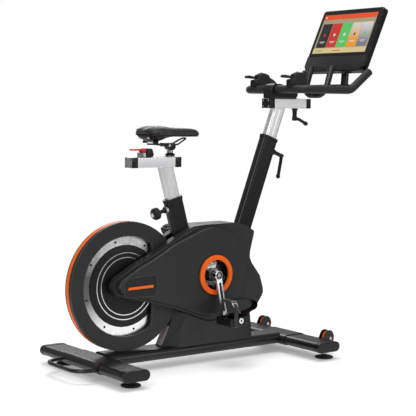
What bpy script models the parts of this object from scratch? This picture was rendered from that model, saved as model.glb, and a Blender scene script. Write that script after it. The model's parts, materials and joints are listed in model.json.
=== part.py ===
"""An indoor exercise bike, built piece by piece. Metres, +Z up, the rider faces +X, +Y is the rider's left."""

import math

import bmesh
import bpy
from mathutils import Matrix, Vector

# Layout along X is measured from the rear stabiliser, then moved so the bike stands centred on the origin.
MIDDLE_X = 0.5994
FRONT_X = 0.932  # front stabiliser
REAR_Z = 0.052  # stabiliser centres above the floor
FRONT_Z = 0.054
STABILISER = (0.117, 0.039)  # depth and height of the flat-sided oval tube
STABILISER_HALF = 0.307
CAP_LENGTH = 0.026
REAR_FEET = (0.020, 0.235)
FRONT_FEET = (0.955, 0.250)
BEAM = (0.120, 0.0455)
BEAM_Z = 0.05775
BEAM_TOP = BEAM_Z + BEAM[1] / 2
GAP = 0.0003

TUBE = (0.077, 0.040)  # seat tube and mast, fore-aft by side to side
TUBE_BORE = (0.074, 0.037)
POST = (0.058, 0.033)
SEAT_TUBE_TOP = Vector((0.367, 0, 0.6515))
SEAT_TILT = math.radians(15.75)
MAST_TOP = Vector((0.848, 0, 0.8875))
MAST_TILT = math.radians(-20.5)

WHEEL = Vector((0.1417, 0, 0.332))
GUARD_R = 0.2505
RIM_EDGE = 0.005  # the orange rim stops here; the right plate's lip goes on
FLYWHEEL_R = 0.218
CRANK = Vector((0.5245, 0, 0.3555))
CRANK_LENGTH = 0.165
CRANK_LEAN = math.radians(4.4)
PULLEY_R = 0.112
SMALL_PULLEY_R = 0.028
BELT_Y = (0.0300, 0.0470)  # inner and outer face of both pulleys
SHELL_HALF = 0.0285  # half length of the crank bearing shell
COVER_Y = 0.052  # outer face of each drive cover
PANEL_Y = 0.075  # outer face of the raised panel

RAIL = (0.050, 0.040)
SEAT_RAIL_X = (0.1606, 0.3856)
SEAT_RAIL_Z = 0.8057
BAR_RAIL_X = (0.8356, 1.0553)
BAR_RAIL_Z = 1.0395
TILT_PIVOT = Vector((0.351, 0, 0.867))
BAR = Vector((0.872, 0, 1.0975))  # crossbar of the handlebar
BAR_R = 0.017
CONSOLE = Vector((1.269, 0, 1.346))  # middle of the lit screen
CONSOLE_TILT = math.radians(24.7)
CONSOLE_PIVOT = Vector((1.280, 0, 1.230))

POD_Y = 0.117
MAST_LEVER_DOWN = 0.037  # below the top of the mast
WHEEL_AXLE = Vector((1.0175, 0.2045, 0.070))
SPOKE_TURN = 36
FREE_PEDAL = math.radians(-25)
PIN_DOWN = 0.024  # lock pin below the top of the seat tube

X = Vector((1, 0, 0))
Y = Vector((0, 1, 0))
Z = Vector((0, 0, 1))

for old in list(bpy.data.objects):
    bpy.data.objects.remove(old)
BIKE = bpy.data.collections.new("exercise_bike")
CUTTERS = bpy.data.collections.new("cutters")
bpy.context.scene.collection.children.link(BIKE)
bpy.context.scene.collection.children.link(CUTTERS)


# Looks


def look(name, colour, roughness, metallic=0.0):
    mat = bpy.data.materials.new(name)
    mat.use_nodes = True
    shader = mat.node_tree.nodes["Principled BSDF"]
    shader.inputs["Base Color"].default_value = (*colour, 1)
    shader.inputs["Roughness"].default_value = roughness
    shader.inputs["Metallic"].default_value = metallic
    return mat


def black_paint(name):
    return look(name, (0.012, 0.012, 0.013), 0.38, 0.1)


def charcoal_shell(name):
    return look(name, (0.032, 0.032, 0.034), 0.5)


def black_plastic(name):
    return look(name, (0.015, 0.015, 0.016), 0.55)


def orange_plastic(name):
    return look(name, (0.93, 0.13, 0.01), 0.4)


def aluminium(name):
    return look(name, (0.66, 0.67, 0.69), 0.32, 1.0)


def steel(name):
    return look(name, (0.62, 0.62, 0.63), 0.25, 1.0)


def rubber(name):
    return look(name, (0.02, 0.02, 0.02), 0.85)


# Outlines: closed lists of (u, v)


def circle(radius, sides=32, u=0.0, v=0.0):
    turn = 2 * math.pi / sides
    return [(u + radius * math.cos(i * turn), v + radius * math.sin(i * turn)) for i in range(sides)]


def rounded(corners, radii, steps=4):
    """A polygon with each corner turned into an arc."""
    count = len(corners)
    if not isinstance(radii, (list, tuple)):
        radii = [radii] * count
    out = []
    for i in range(count):
        here = Vector(corners[i])
        before = (Vector(corners[i - 1]) - here).normalized()
        after = (Vector(corners[(i + 1) % count]) - here).normalized()
        if radii[i] == 0:
            out.append(tuple(here))
            continue
        half = before.angle(after) / 2
        middle = here + (before + after).normalized() * radii[i] / math.sin(half)
        start = here + before * radii[i] / math.tan(half) - middle
        end = here + after * radii[i] / math.tan(half) - middle
        sweep = start.angle_signed(end)
        for step in range(steps + 1):
            out.append(tuple(middle + Matrix.Rotation(-sweep * step / steps, 2) @ start))
    return out


def round_rect(width, height, radius, u=0.0, v=0.0, steps=3):
    w, h = width / 2, height / 2
    return rounded([(u - w, v - h), (u + w, v - h), (u + w, v + h), (u - w, v + h)], radius, steps)


def slot(width, height, u=0.0, v=0.0, steps=5):
    return round_rect(width, height, min(width, height) / 2 - 1e-5, u, v, steps)


def inset(outline, distance):
    """The outline moved inwards by a distance (outlines run anticlockwise)."""
    count = len(outline)
    out = []
    for i in range(count):
        here = Vector(outline[i])
        back = (here - Vector(outline[i - 1])).normalized()
        ahead = (Vector(outline[(i + 1) % count]) - here).normalized()
        normal_a = Vector((-back.y, back.x))
        normal_b = Vector((-ahead.y, ahead.x))
        middle = (normal_a + normal_b).normalized()
        out.append(tuple(here + middle * distance / max(0.3, middle.dot(normal_a))))
    return out


def arc(radius, start, end, steps, u=0.0, v=0.0):
    """Points from one angle to the other, in degrees."""
    out = []
    for i in range(steps + 1):
        angle = math.radians(start + (end - start) * i / steps)
        out.append((u + radius * math.cos(angle), v + radius * math.sin(angle)))
    return out


def belt_line(big, big_r, small, small_r, steps=14):
    """The line of a belt round two wheels; the small wheel is on the -u side."""
    across = Vector(big) - Vector(small)
    heading = math.atan2(across.y, across.x)
    open_angle = math.acos((big_r - small_r) / across.length)
    out = []
    for i in range(2 * steps + 1):
        angle = heading - math.pi + open_angle + (2 * math.pi - 2 * open_angle) * i / (2 * steps)
        out.append((big[0] + big_r * math.cos(angle), big[1] + big_r * math.sin(angle)))
    for i in range(steps + 1):
        angle = heading + math.pi - open_angle + 2 * open_angle * i / steps
        out.append((small[0] + small_r * math.cos(angle), small[1] + small_r * math.sin(angle)))
    return out


# Shapes


def node(name, bm, mat, pivot=(0, 0, 0)):
    """A mesh in the layout's frame becomes an object whose origin is the pivot."""
    bmesh.ops.remove_doubles(bm, verts=bm.verts, dist=1e-6)
    bmesh.ops.recalc_face_normals(bm, faces=bm.faces)
    bmesh.ops.translate(bm, verts=bm.verts, vec=-Vector(pivot))
    for face in bm.faces:
        face.smooth = True
    mesh = bpy.data.meshes.new(name)
    bm.to_mesh(mesh)
    bm.free()
    mesh.set_sharp_from_angle(angle=math.radians(32))
    if mat:
        mesh.materials.append(mat)
    obj = bpy.data.objects.new(name, mesh)
    obj.location = Vector(pivot) - MIDDLE_X * X
    BIKE.objects.link(obj)
    return obj


def frame_of(base, across, up):
    across = Vector(across).normalized()
    up = Vector(up).normalized()
    out = across.cross(up)
    turn = Matrix((across, up, out)).transposed().to_4x4()
    return Matrix.Translation(Vector(base)) @ turn


def curve_mesh(curve, place):
    """The mesh that a curve makes, in the layout's frame."""
    holder = bpy.data.objects.new("holder", curve)
    bpy.context.scene.collection.objects.link(holder)
    graph = bpy.context.evaluated_depsgraph_get()
    graph.update()
    made = bpy.data.meshes.new_from_object(holder.evaluated_get(graph))
    bpy.data.objects.remove(holder)
    bm = bmesh.new()
    bm.from_mesh(made)
    bpy.data.meshes.remove(made)
    bmesh.ops.transform(bm, matrix=place, verts=bm.verts)
    return bm


def prism(name, mat, outline, base, across, up, length, edge=0.0, holes=(), pivot=(0, 0, 0)):
    """A flat outline in the (across, up) plane, pushed by length along across x up, with rounded edges."""
    curve = bpy.data.curves.new(name, "CURVE")
    curve.dimensions = "2D"
    curve.fill_mode = "BOTH"
    curve.extrude = length / 2 - edge
    curve.bevel_depth = edge
    curve.bevel_resolution = 0
    curve.offset = -edge
    for line in (outline, *holes):
        spline = curve.splines.new("POLY")
        spline.points.add(len(line) - 1)
        spline.use_cyclic_u = True
        for point, (u, v) in zip(spline.points, line):
            point.co = (u, v, 0, 1)
    place = frame_of(base, across, up) @ Matrix.Translation((0, 0, length / 2))
    return node(name, curve_mesh(curve, place), mat, pivot)


def rod(name, mat, path, radius, pivot=(0, 0, 0), sides=3):
    """A round bar along a line of points, with flat ends."""
    curve = bpy.data.curves.new(name, "CURVE")
    curve.dimensions = "3D"
    curve.bevel_depth = radius
    curve.bevel_resolution = sides
    curve.use_fill_caps = True
    spline = curve.splines.new("POLY")
    spline.points.add(len(path) - 1)
    for point, place in zip(spline.points, path):
        point.co = (*place, 1)
    return node(name, curve_mesh(curve, Matrix.Identity(4)), mat, pivot)


def bend(corners, radius, steps=5):
    """An open line in space with its inner corners rounded."""
    out = [Vector(corners[0])]
    for i in range(1, len(corners) - 1):
        here = Vector(corners[i])
        before = (Vector(corners[i - 1]) - here).normalized()
        after = (Vector(corners[i + 1]) - here).normalized()
        half = before.angle(after) / 2
        middle = here + (before + after).normalized() * radius / math.sin(half)
        start = here + before * radius / math.tan(half) - middle
        sweep = math.pi - 2 * half
        axis = start.cross(here + after * radius / math.tan(half) - middle)
        for step in range(steps + 1):
            out.append(middle + Matrix.Rotation(sweep * step / steps, 3, axis) @ start)
    out.append(Vector(corners[-1]))
    return out


def turned(name, mat, profile, centre, along, sides=24, pivot=(0, 0, 0)):
    """A profile of (radius, distance along) turned round an axis."""
    along = Vector(along).normalized()
    side = along.orthogonal().normalized()
    place = frame_of(centre, side, along.cross(side))
    bm = bmesh.new()
    points = [bm.verts.new((radius, 0, far)) for radius, far in profile]
    for one, two in zip(points, points[1:]):
        bm.edges.new((one, two))
    if profile[0][0] > 0:
        bm.edges.new((points[-1], points[0]))
    geometry = list(bm.verts) + list(bm.edges)
    bmesh.ops.spin(
        bm, geom=geometry, cent=(0, 0, 0), axis=(0, 0, 1), angle=2 * math.pi, steps=sides, use_merge=True
    )
    bmesh.ops.remove_doubles(bm, verts=bm.verts, dist=1e-6)
    bmesh.ops.dissolve_degenerate(bm, edges=bm.edges, dist=1e-7)
    bmesh.ops.transform(bm, matrix=place, verts=bm.verts)
    return node(name, bm, mat, pivot)


def pin(name, mat, start, end, radius, sides=16, edge=0.0, pivot=(0, 0, 0)):
    """A plain cylinder from one point to the other, with chamfered rims."""
    start, end = Vector(start), Vector(end)
    far = (end - start).length
    if edge:
        profile = [(0, 0), (radius - edge, 0), (radius, edge), (radius, far - edge), (radius - edge, far), (0, far)]
    else:
        profile = [(0, 0), (radius, 0), (radius, far), (0, far)]
    return turned(name, mat, profile, start, end - start, sides, pivot)


def box(name, mat, low, high, edge=0.0, pivot=(0, 0, 0)):
    bm = bmesh.new()
    low, high = Vector(low), Vector(high)
    size = Matrix.Diagonal((*(high - low), 1))
    bmesh.ops.create_cube(bm, size=1, matrix=Matrix.Translation((low + high) / 2) @ size)
    if edge:
        bmesh.ops.bevel(bm, geom=bm.edges, offset=edge, segments=2, profile=0.5, affect="EDGES")
    return node(name, bm, mat, pivot)


def loft(name, mat, sections, pivot=(0, 0, 0)):
    """Skin over closed sections that all have the same number of points."""
    bm = bmesh.new()
    rings = [[bm.verts.new(point) for point in section] for section in sections]
    for one, two in zip(rings, rings[1:]):
        for i in range(len(one)):
            j = (i + 1) % len(one)
            bm.faces.new((one[i], one[j], two[j], two[i]))
    bm.faces.new(rings[0])
    bm.faces.new(rings[-1])
    return node(name, bm, mat, pivot)


def use(obj, other, operation):
    """A live Boolean: the other shape moves to the cutters and stays out of the bike."""
    BIKE.objects.unlink(other)
    CUTTERS.objects.link(other)
    other.hide_render = True
    other.display_type = "WIRE"
    step = obj.modifiers.new(other.name, "BOOLEAN")
    step.operation = operation
    step.object = other
    step.solver = "EXACT"


def cut(obj, *others):
    for other in others:
        use(obj, other, "DIFFERENCE")


def join(obj, *others):
    for other in others:
        use(obj, other, "UNION")


def tube_frame(tilt):
    """Forward and upward directions of a leaning tube."""
    forward = Vector((math.cos(tilt), 0, math.sin(tilt)))
    return forward, forward.cross(Y)


def leaning(name, mat, outline, top, tilt, low, high, holes=(), edge=0.0, pivot=(0, 0, 0)):
    """A prism along a leaning tube, between two distances from its top."""
    forward, upward = tube_frame(tilt)
    return prism(name, mat, outline, top + upward * low, forward, Y, high - low, edge, holes, pivot)


# Base


def stabiliser(name, x, z, feet, eared=False):
    """Flat-sided oval tube, open at both ends, with a threaded hole for each levelling foot."""
    half = STABILISER_HALF - CAP_LENGTH
    width, height = STABILISER
    tube = prism(name, black_paint(name), slot(*STABILISER), (x, half, z), X, Z, 2 * half)
    if eared:
        wheel_ears(tube)
    bore = slot(width - 0.004, height - 0.004)
    cut(tube, prism(f"{name}_bore", None, bore, (x, 0.3, z), X, Z, 0.6))
    for side in (-1, 1):
        start = Vector((feet[0], side * feet[1], 0.025))
        cut(tube, pin(f"{name}_foot_hole", None, start, start + 0.020 * Z, 0.0056, 12))
    return tube


def end_cap(name, x, z, side):
    """Plastic cap with a plug that fills the end of the tube."""
    half = STABILISER_HALF - CAP_LENGTH
    width, height = STABILISER
    long = CAP_LENGTH - GAP
    outline = slot(width + 0.002, height + 0.002)
    start = STABILISER_HALF if side > 0 else -half - GAP
    cap = prism(name, black_plastic(name), outline, (x, start, z), X, Z, long, 0.003)
    outline = slot(width - 0.0046, height - 0.0046)
    start = half + 0.004 if side > 0 else -half + 0.022
    join(cap, prism(f"{name}_plug", None, outline, (x, start, z), X, Z, 0.026))
    return cap


def levelling_foot(name, x, y, tube_z):
    top = tube_z + 0.008
    profile = [(0, 0), (0.034, 0), (0.038, 0.003), (0.038, 0.007), (0.030, 0.010), (0.009, 0.013)]
    profile += [(0.009, tube_z - 0.021), (0.005, tube_z - 0.021), (0.005, top), (0, top)]
    return turned(name, rubber(name), profile, (x, y, 0), Z, 28, (x, y, 0))


def main_beam():
    """Flat-oval beam with the two sleeves that hold the stabilisers, welded into one."""
    name = "main_beam"
    beam = prism(name, black_paint(name), slot(*BEAM, steps=7), (0.045, 0, BEAM_Z), Y, Z, FRONT_X - 0.090, 0)
    width, height = STABILISER
    for label, x, z, half in (("rear", 0, REAR_Z, 0.130), ("front", FRONT_X, FRONT_Z, 0.090)):
        outer = slot(width + 0.005, height + 0.005)
        join(beam, prism(f"{label}_sleeve", None, outer, (x, half, z), X, Z, 2 * half, 0))
    for label, x, z in (("rear", 0, REAR_Z), ("front", FRONT_X, FRONT_Z)):
        bore = slot(width + 2 * GAP, height + 2 * GAP)
        cut(beam, prism(f"{label}_sleeve_bore", None, bore, (x, 0.15, z), X, Z, 0.30, 0))
    inside = slot(BEAM[0] - 0.030, 0.030, steps=4)
    cut(beam, prism("beam_inside", None, inside, (0.050, 0, BEAM_Z - 0.002), Y, Z, FRONT_X - 0.100, 0))
    return beam


def lift_handle():
    name = "lift_handle"
    corners = [(-0.0620, 0.126, 0.050), (-0.142, 0.126, 0.050), (-0.142, -0.126, 0.050), (-0.0620, -0.126, 0.050)]
    return rod(name, black_paint(name), bend(corners, 0.062, 8), 0.008, sides=2)


def wheel_ears(tube):
    """A pair of ears on each side, welded to the front stabiliser, with the wheel's pin across them."""
    corners = [(0.975, 0.066), (0.984, 0.046), (1.030, 0.045)]
    corners += [(1.0370, 0.078), (1.026, 0.1040), (0.994, 0.1040), (0.984, 0.085)]
    outline = rounded(corners, [0, 0, 0.014, 0.016, 0.018, 0.016, 0.004], 2)
    for side in (-1, 1):
        middle = side * WHEEL_AXLE.y
        for face in (-0.0120, 0.0150):
            join(tube, prism("wheel_ear", None, outline, (0, middle + face, 0), X, Z, 0.003))
        centre = Vector((WHEEL_AXLE.x, middle, WHEEL_AXLE.z))
        join(tube, pin("wheel_pin", None, centre - 0.0165 * Y, centre + 0.0165 * Y, 0.004, 10))


def transport_wheel(name, side):
    centre = Vector((WHEEL_AXLE.x, side * WHEEL_AXLE.y, WHEEL_AXLE.z))
    profile = [(0.0043, -0.0105), (0.023, -0.0105), (0.0285, -0.0065), (0.0285, 0.0065), (0.023, 0.0105), (0.0043, 0.0105)]
    return turned(name, orange_plastic(name), profile, centre, Y, 32, centre)


# Frame


def seat_tube():
    name = "seat_tube"
    tube = leaning(
        name, black_paint(name), round_rect(*TUBE, 0.013), SEAT_TUBE_TOP, SEAT_TILT, -0.600, 0.0,
        [round_rect(*TUBE_BORE, 0.0115)],
    )
    forward, upward = tube_frame(MAST_TILT)
    ahead = TUBE[0] / 2 + GAP
    outline = [(-ahead, -0.1), (0.3, -0.1), (0.3, 0.1), (-ahead, 0.1)]
    cut(tube, prism("mast_side", None, outline, MAST_TOP - upward * 1.0, forward, Y, 1.1))
    cut(tube, box("below_beam", None, (0, -0.1, -0.1), (1, 0.1, BEAM_TOP + GAP)))
    forward, upward = tube_frame(SEAT_TILT)
    pin_at = SEAT_TUBE_TOP - upward * PIN_DOWN
    cut(tube, pin("pop_pin_hole", None, pin_at - forward * 0.05, pin_at - forward * 0.03, 0.0056, 16))
    return tube


def mast():
    name = "mast"
    tube = leaning(
        name, black_paint(name), round_rect(*TUBE, 0.013), MAST_TOP, MAST_TILT, -0.900, 0.0,
        [round_rect(*TUBE_BORE, 0.0115)],
    )
    cut(tube, box("below_mast", None, (0, -0.1, -0.1), (1, 0.1, BEAM_TOP + GAP)))
    forward, upward = tube_frame(MAST_TILT)
    at = MAST_TOP - upward * MAST_LEVER_DOWN
    cut(tube, pin("mast_lever_hole", None, at + forward * 0.03, at + forward * 0.05, 0.0056, 16))
    return tube


def bushing(name, top, tilt):
    """Plastic collar that lines the mouth of a tube."""
    hole = [round_rect(POST[0] + 0.0006, POST[1] + 0.0006, 0.0083)]
    flange = leaning(name, black_plastic(name), round_rect(0.081, 0.044, 0.015), top, tilt, GAP, 0.0135, hole)
    size = (TUBE_BORE[0] - 0.0006, TUBE_BORE[1] - 0.0006)
    plug = leaning(f"{name}_plug", None, round_rect(*size, 0.0112), top, tilt, -0.030, 0.001, hole)
    join(flange, plug)
    if name == "seat_bushing":
        forward, upward = tube_frame(tilt)
        at = top - upward * PIN_DOWN
        cut(flange, pin("bushing_pin_hole", None, at - forward * 0.05, at - forward * 0.025, 0.0056, 16))
    return flange


def drive_bracket():
    """Crank bearing shell with the two plates that reach back to the flywheel axle."""
    name = "drive_bracket"
    shell = pin(name, black_paint(name), CRANK - SHELL_HALF * Y, CRANK + SHELL_HALF * Y, 0.0320, 24)
    outline = belt_line((CRANK.x, CRANK.z), 0.030, (WHEEL.x, WHEEL.z), 0.020, 7)
    for side in (-1, 1):
        y = 0.0265 if side > 0 else -0.0203
        join(shell, prism("wheel_plate", None, outline, (0, y, 0), X, Z, 0.0062, 0))
    cut(shell, pin("shell_bore", None, CRANK - 0.05 * Y, CRANK + 0.05 * Y, 0.0118, 24))
    cut(shell, pin("axle_bore", None, WHEEL - 0.05 * Y, WHEEL + 0.05 * Y, 0.0095, 24))
    return shell


def pop_pin():
    name = "pop_pin"
    forward, upward = tube_frame(SEAT_TILT)
    at = SEAT_TUBE_TOP - upward * PIN_DOWN
    face = TUBE[0] / 2
    inner = POST[0] / 2 + GAP
    profile = [(0, -inner), (0.005, -inner), (0.005, -face - GAP), (0.011, -face - GAP)]
    profile += [(0.012, -face - 0.012), (0.008, -face - 0.016), (0.008, -face - 0.038), (0.0225, -face - 0.042)]
    profile += [(0.0225, -face - 0.062), (0.018, -face - 0.067), (0, -face - 0.068)]
    return turned(name, black_plastic(name), profile, at, forward, 24, at - forward * face)


def mast_lever():
    """Screw lever that clamps the handlebar post."""
    name = "mast_lever"
    forward, upward = tube_frame(MAST_TILT)
    at = MAST_TOP - upward * MAST_LEVER_DOWN
    face = TUBE[0] / 2
    pivot = at + forward * face
    profile = [(0, POST[0] / 2 + GAP), (0.005, POST[0] / 2 + GAP), (0.005, face + GAP), (0.012, face + GAP)]
    profile += [(0.012, face + 0.010), (0.0085, face + 0.014), (0.0085, face + 0.060), (0.0, face + 0.062)]
    lever = turned(name, black_plastic(name), profile, at, forward, 20, pivot)
    root = at + forward * (face + 0.0535)
    path = [root, root + Vector((-0.0030, 0, -0.022)), root + Vector((-0.0165, 0, -0.086))]
    join(lever, rod(f"{name}_handle", None, path, 0.0072, sides=2))
    return lever


# Covers


def base_cover():
    name = "base_cover"
    low = 0.070
    crest = [(0.732, low), (0.7205, 0.1965), (0.532, 0.1665), (0.491, 0.1705)]
    full = [(0.297, low), *crest, (0.362, 0.2206), (0.3445, 0.168)]
    ridge = [(0.362, low), *crest, (0.402, 0.2052), (0.389, 0.181)]
    wall = 0.0025
    inner_crest = [(0.7295, low - 0.01), (0.7180, 0.21), (0.532, 0.21), (0.491, 0.215)]
    inner_full = [(0.3035, low - 0.01), *inner_crest, (0.372, 0.240), (0.3485, 0.168)]
    inner_ridge = [(0.3665, low - 0.01), *inner_crest, (0.407, 0.225), (0.3925, 0.181)]

    def along(stations):
        return [[(x, y, z) for x, z in outline] for y, outline in stations]

    wide, narrow = COVER_Y, 0.022
    cover = loft(name, charcoal_shell(name), along([(-wide, ridge), (-narrow, full), (narrow, full), (wide, ridge)]))
    wide, narrow = COVER_Y - wall, 0.0200
    hollow = along([(-wide, inner_ridge), (-narrow, inner_full), (narrow, inner_full), (wide, inner_ridge)])
    cut(cover, loft("base_hollow", None, hollow))
    wheel = circle(GUARD_R + 0.001, 48, WHEEL.x, WHEEL.z)
    cut(cover, prism("guard_room", None, wheel, (0, 0.0212, 0), X, Z, 0.0424, 0))
    cut(cover, prism("beam_room", None, slot(BEAM[0] + 0.0006, BEAM[1] + 0.0006, steps=7), (0.2, 0, BEAM_Z), Y, Z, 0.6, 0))
    return cover


SHELL = [
    (0.640, 0.5565), (0.487, 0.5560), (0.429, 0.5510), (0.329, 0.5030), (0.296, 0.4820), (0.226, 0.4480),
    (0.158, 0.4180), (0.074, 0.3720), (0.050, 0.3380), (0.074, 0.3030), (0.228, 0.2640), (0.346, 0.2310),
    (0.492, 0.1740), (0.532, 0.1700), (0.752, 0.2050), (0.794, 0.2620), (0.771, 0.3330), (0.711, 0.4080),
    (0.740, 0.5180), (0.690, 0.5460),
]
SHELL_R = [0, 0.02, 0.03, 0, 0, 0, 0, 0.012, 0.022, 0.012, 0, 0, 0.02, 0.02, 0.022, 0.035, 0, 0.055, 0.010, 0]


def panel_outline():
    upper = [(0.330, 0.4900), (0.226, 0.4345), (0.158, 0.4050), (0.088, 0.3660)]
    nose = [(0.070, 0.3380), (0.088, 0.3130)]
    lower = [(0.228, 0.2770), (0.346, 0.2440), (0.440, 0.2075)]
    ring = arc(0.175, -101, 112, 18, 0.510, 0.370)
    return ring + upper + nose + lower


def drive_cover(name, side):
    """One half of the drive housing: a shell with a raised panel, split on the bike's middle plane."""
    outer = rounded(SHELL, SHELL_R, 2)
    panel = panel_outline()
    wall = 0.0025

    def slab(label, mat, outline, near, far, edge=0.0):
        start = max(side * near, side * far)
        return prism(label, mat, outline, (0, start, 0), X, Z, abs(far - near), edge)

    cover = slab(name, charcoal_shell(name), outer, 0.0003, COVER_Y, 0)
    join(cover, slab(f"{name}_panel", None, panel, COVER_Y - 0.010, PANEL_Y, 0.004))
    cut(cover, slab(f"{name}_hollow", None, inset(outer, wall), -0.02, COVER_Y - wall))
    cut(cover, slab(f"{name}_panel_hollow", None, inset(panel, wall + 0.001), COVER_Y - 0.012, PANEL_Y - wall))
    cut(cover, box(f"{name}_guard_room", None, *ordered((-0.1, -side * 0.01, 0.0), (0.400, side * 0.0228, 0.8))))
    clear = 0.0010
    size = (TUBE[0] + clear, TUBE[1] + clear)
    for label, top, tilt in (("seat", SEAT_TUBE_TOP, SEAT_TILT), ("mast", MAST_TOP, MAST_TILT)):
        cut(cover, leaning(f"{name}_{label}_room", None, round_rect(*size, 0.0135), top, tilt, -0.95, -0.05))
    radius = 0.0615 if side < 0 else 0.022
    hole = pin(f"{name}_crank_hole", None, CRANK + side * 0.040 * Y, CRANK + side * 0.10 * Y, radius, 32)
    cut(cover, hole)
    for step in cover.modifiers:
        step.solver = "MANIFOLD"
    return cover


def ordered(one, two):
    low = [min(a, b) for a, b in zip(one, two)]
    high = [max(a, b) for a, b in zip(one, two)]
    return low, high


def guard_opening():
    """C-shaped window: the rear of the wheel stays open, the front is closed by the plate."""
    radius = 0.194
    angle = math.degrees(math.acos((0.253 - WHEEL.x) / radius))
    ring = arc(radius, angle, 360 - angle, 28, WHEEL.x, WHEEL.z)
    return rounded(ring, [0.030] + [0] * (len(ring) - 2) + [0.030], 5)


def wheel_guard(name, side):
    y = 0.0200 if side > 0 else -0.0133
    outline = circle(GUARD_R, 56, WHEEL.x, WHEEL.z)
    plate = prism(name, charcoal_shell(name), outline, (0, y, 0), X, Z, 0.0067, 0, [guard_opening()])
    if side < 0:
        hollow = circle(GUARD_R - 0.003, 56, WHEEL.x, WHEEL.z)
        join(plate, prism(f"{name}_lip", None, outline, (0, -RIM_EDGE - GAP, 0), X, Z, 0.0085, 0, [hollow]))
    return plate


def guard_rim():
    name = "guard_rim"
    radius = GUARD_R + 0.0005
    profile = [(radius - 0.003, -RIM_EDGE), (radius, -RIM_EDGE), (radius, 0.0130), (radius - 0.003, 0.0130)]
    return turned(name, orange_plastic(name), profile, WHEEL, Y, 56)


def crank_ring():
    name = "crank_ring"
    front = -PANEL_Y - GAP
    profile = [(0.0605, front), (0.0795, front), (0.0795, front - 0.008), (0.0775, front - 0.010), (0.0605, front - 0.010)]
    return turned(name, orange_plastic(name), profile, CRANK, Y, 40)


# Drive


def flywheel():
    name = "flywheel"
    radius = FLYWHEEL_R
    profile = [(0.0093, -0.002), (radius, -0.002), (radius, 0.010), (0.0093, 0.010)]
    return turned(name, steel(name), profile, WHEEL, Y, 48, WHEEL)


def flywheel_hub():
    name = "flywheel_hub"
    profile = [(0.0093, -0.0023), (0.1595, -0.0023), (0.1595, -0.004), (0.120, -0.0105), (0.108, -0.0105)]
    profile += [(0.100, -0.0080), (0.045, -0.0080), (0.040, -0.0122), (0.0093, -0.0122)]
    return turned(name, black_paint(name), profile, WHEEL, Y, 36, WHEEL)


def flywheel_axle():
    name = "flywheel_axle"
    profile = [(0, -0.0485), (0.009, -0.0485), (0.009, -BELT_Y[1]), (SMALL_PULLEY_R, -BELT_Y[1])]
    profile += [(SMALL_PULLEY_R, -BELT_Y[0]), (0.009, -BELT_Y[0]), (0.009, 0.034), (0.008, 0.036), (0, 0.036)]
    return turned(name, steel(name), profile, WHEEL, Y, 24, WHEEL)


def drive_pulley():
    name = "drive_pulley"
    near, far = BELT_Y
    profile = [(0.0088, -near), (PULLEY_R, -near), (PULLEY_R, -far), (0.098, -far), (0.096, -far + 0.008)]
    profile += [(0.030, -far + 0.008), (0.026, -0.070), (0.0088, -0.070)]
    pulley = turned(name, aluminium(name), profile, CRANK, Y, 40, CRANK)
    for i in range(5):
        angle = math.radians(90 + SPOKE_TURN + 72 * i)
        middle = CRANK + 0.062 * Vector((math.cos(angle), 0, math.sin(angle)))
        cut(pulley, pin("pulley_window", None, middle - 0.03 * Y, middle - 0.07 * Y, 0.0165, 12))
    return pulley


def drive_belt():
    name = "drive_belt"
    big, small = (CRANK.x, CRANK.z), (WHEEL.x, WHEEL.z)
    outer = belt_line(big, PULLEY_R + 0.0035, small, SMALL_PULLEY_R + 0.0035, 12)
    inner = belt_line(big, PULLEY_R + 0.0006, small, SMALL_PULLEY_R + 0.0006, 12)
    return prism(name, rubber(name), outer, (0, -BELT_Y[0] - 0.0015, 0), X, Z, 0.014, 0, [inner])


def crank_axle():
    name = "crank_axle"
    profile = [(0, -0.092), (0.0078, -0.092), (0.0085, -0.090), (0.0085, -0.0288), (0.0115, -0.0288)]
    profile += [(0.0115, 0.0288), (0.0085, 0.0288), (0.0085, 0.090), (0.0078, 0.092), (0, 0.092)]
    return turned(name, steel(name), profile, CRANK, Y, 24, CRANK)


def pedal_place(side):
    """Where the pedal's axis crosses the bike's middle plane: the right crank hangs down, the left stands up."""
    lean = Vector((math.sin(CRANK_LEAN), 0, -math.cos(CRANK_LEAN)))
    return CRANK - side * lean * CRANK_LENGTH


def crank_arm(name, side):
    end = pedal_place(side)
    along = (end - CRANK).normalized()
    across = along.cross(Y)
    boss = turned(
        name, steel(name),
        [(0, side * 0.0925), (0.0089, side * 0.0925), (0.0089, side * 0.0790), (0.0185, side * 0.0790),
         (0.0185, side * 0.0985), (0.0165, side * 0.1005), (0, side * 0.1005)],
        CRANK, Y, 20, CRANK,
    )
    sections = []
    for far, y, wide, thick in ((0.012, 0.0915, 0.033, 0.0145), (0.040, 0.0965, 0.031, 0.014),
                                (0.120, 0.1110, 0.028, 0.013), (0.163, 0.1185, 0.028, 0.013)):
        middle = CRANK + along * far + side * y * Y
        sections.append([middle + across * u + Y * v for u, v in round_rect(wide, thick, 0.004, steps=2)])
    join(boss, loft(f"{name}_arm", None, sections))
    join(boss, pin(f"{name}_eye", None, end + side * 0.1115 * Y, end + side * 0.1255 * Y, 0.0150, 16, 0.001))
    join(boss, pin(f"{name}_spindle", None, end + side * 0.120 * Y, end + side * 0.2215 * Y, 0.0070, 12))
    return boss


PEDAL_SIDE = [(-0.048, -0.0240), (0.014, -0.0205), (0.048, -0.0040), (0.048, 0.0170), (-0.048, 0.0080)]


def hang(obj, side):
    """The free pedal on the left swings round its spindle; its cutters turn with it."""
    if side > 0:
        at = pedal_place(side) - MIDDLE_X * X
        turn = Matrix.Translation(at) @ Matrix.Rotation(FREE_PEDAL, 4, "Y") @ Matrix.Translation(-at)
        for each in [obj] + [step.object for step in obj.modifiers if step.type == "BOOLEAN"]:
            each.matrix_basis = turn @ each.matrix_basis
    return obj


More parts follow.
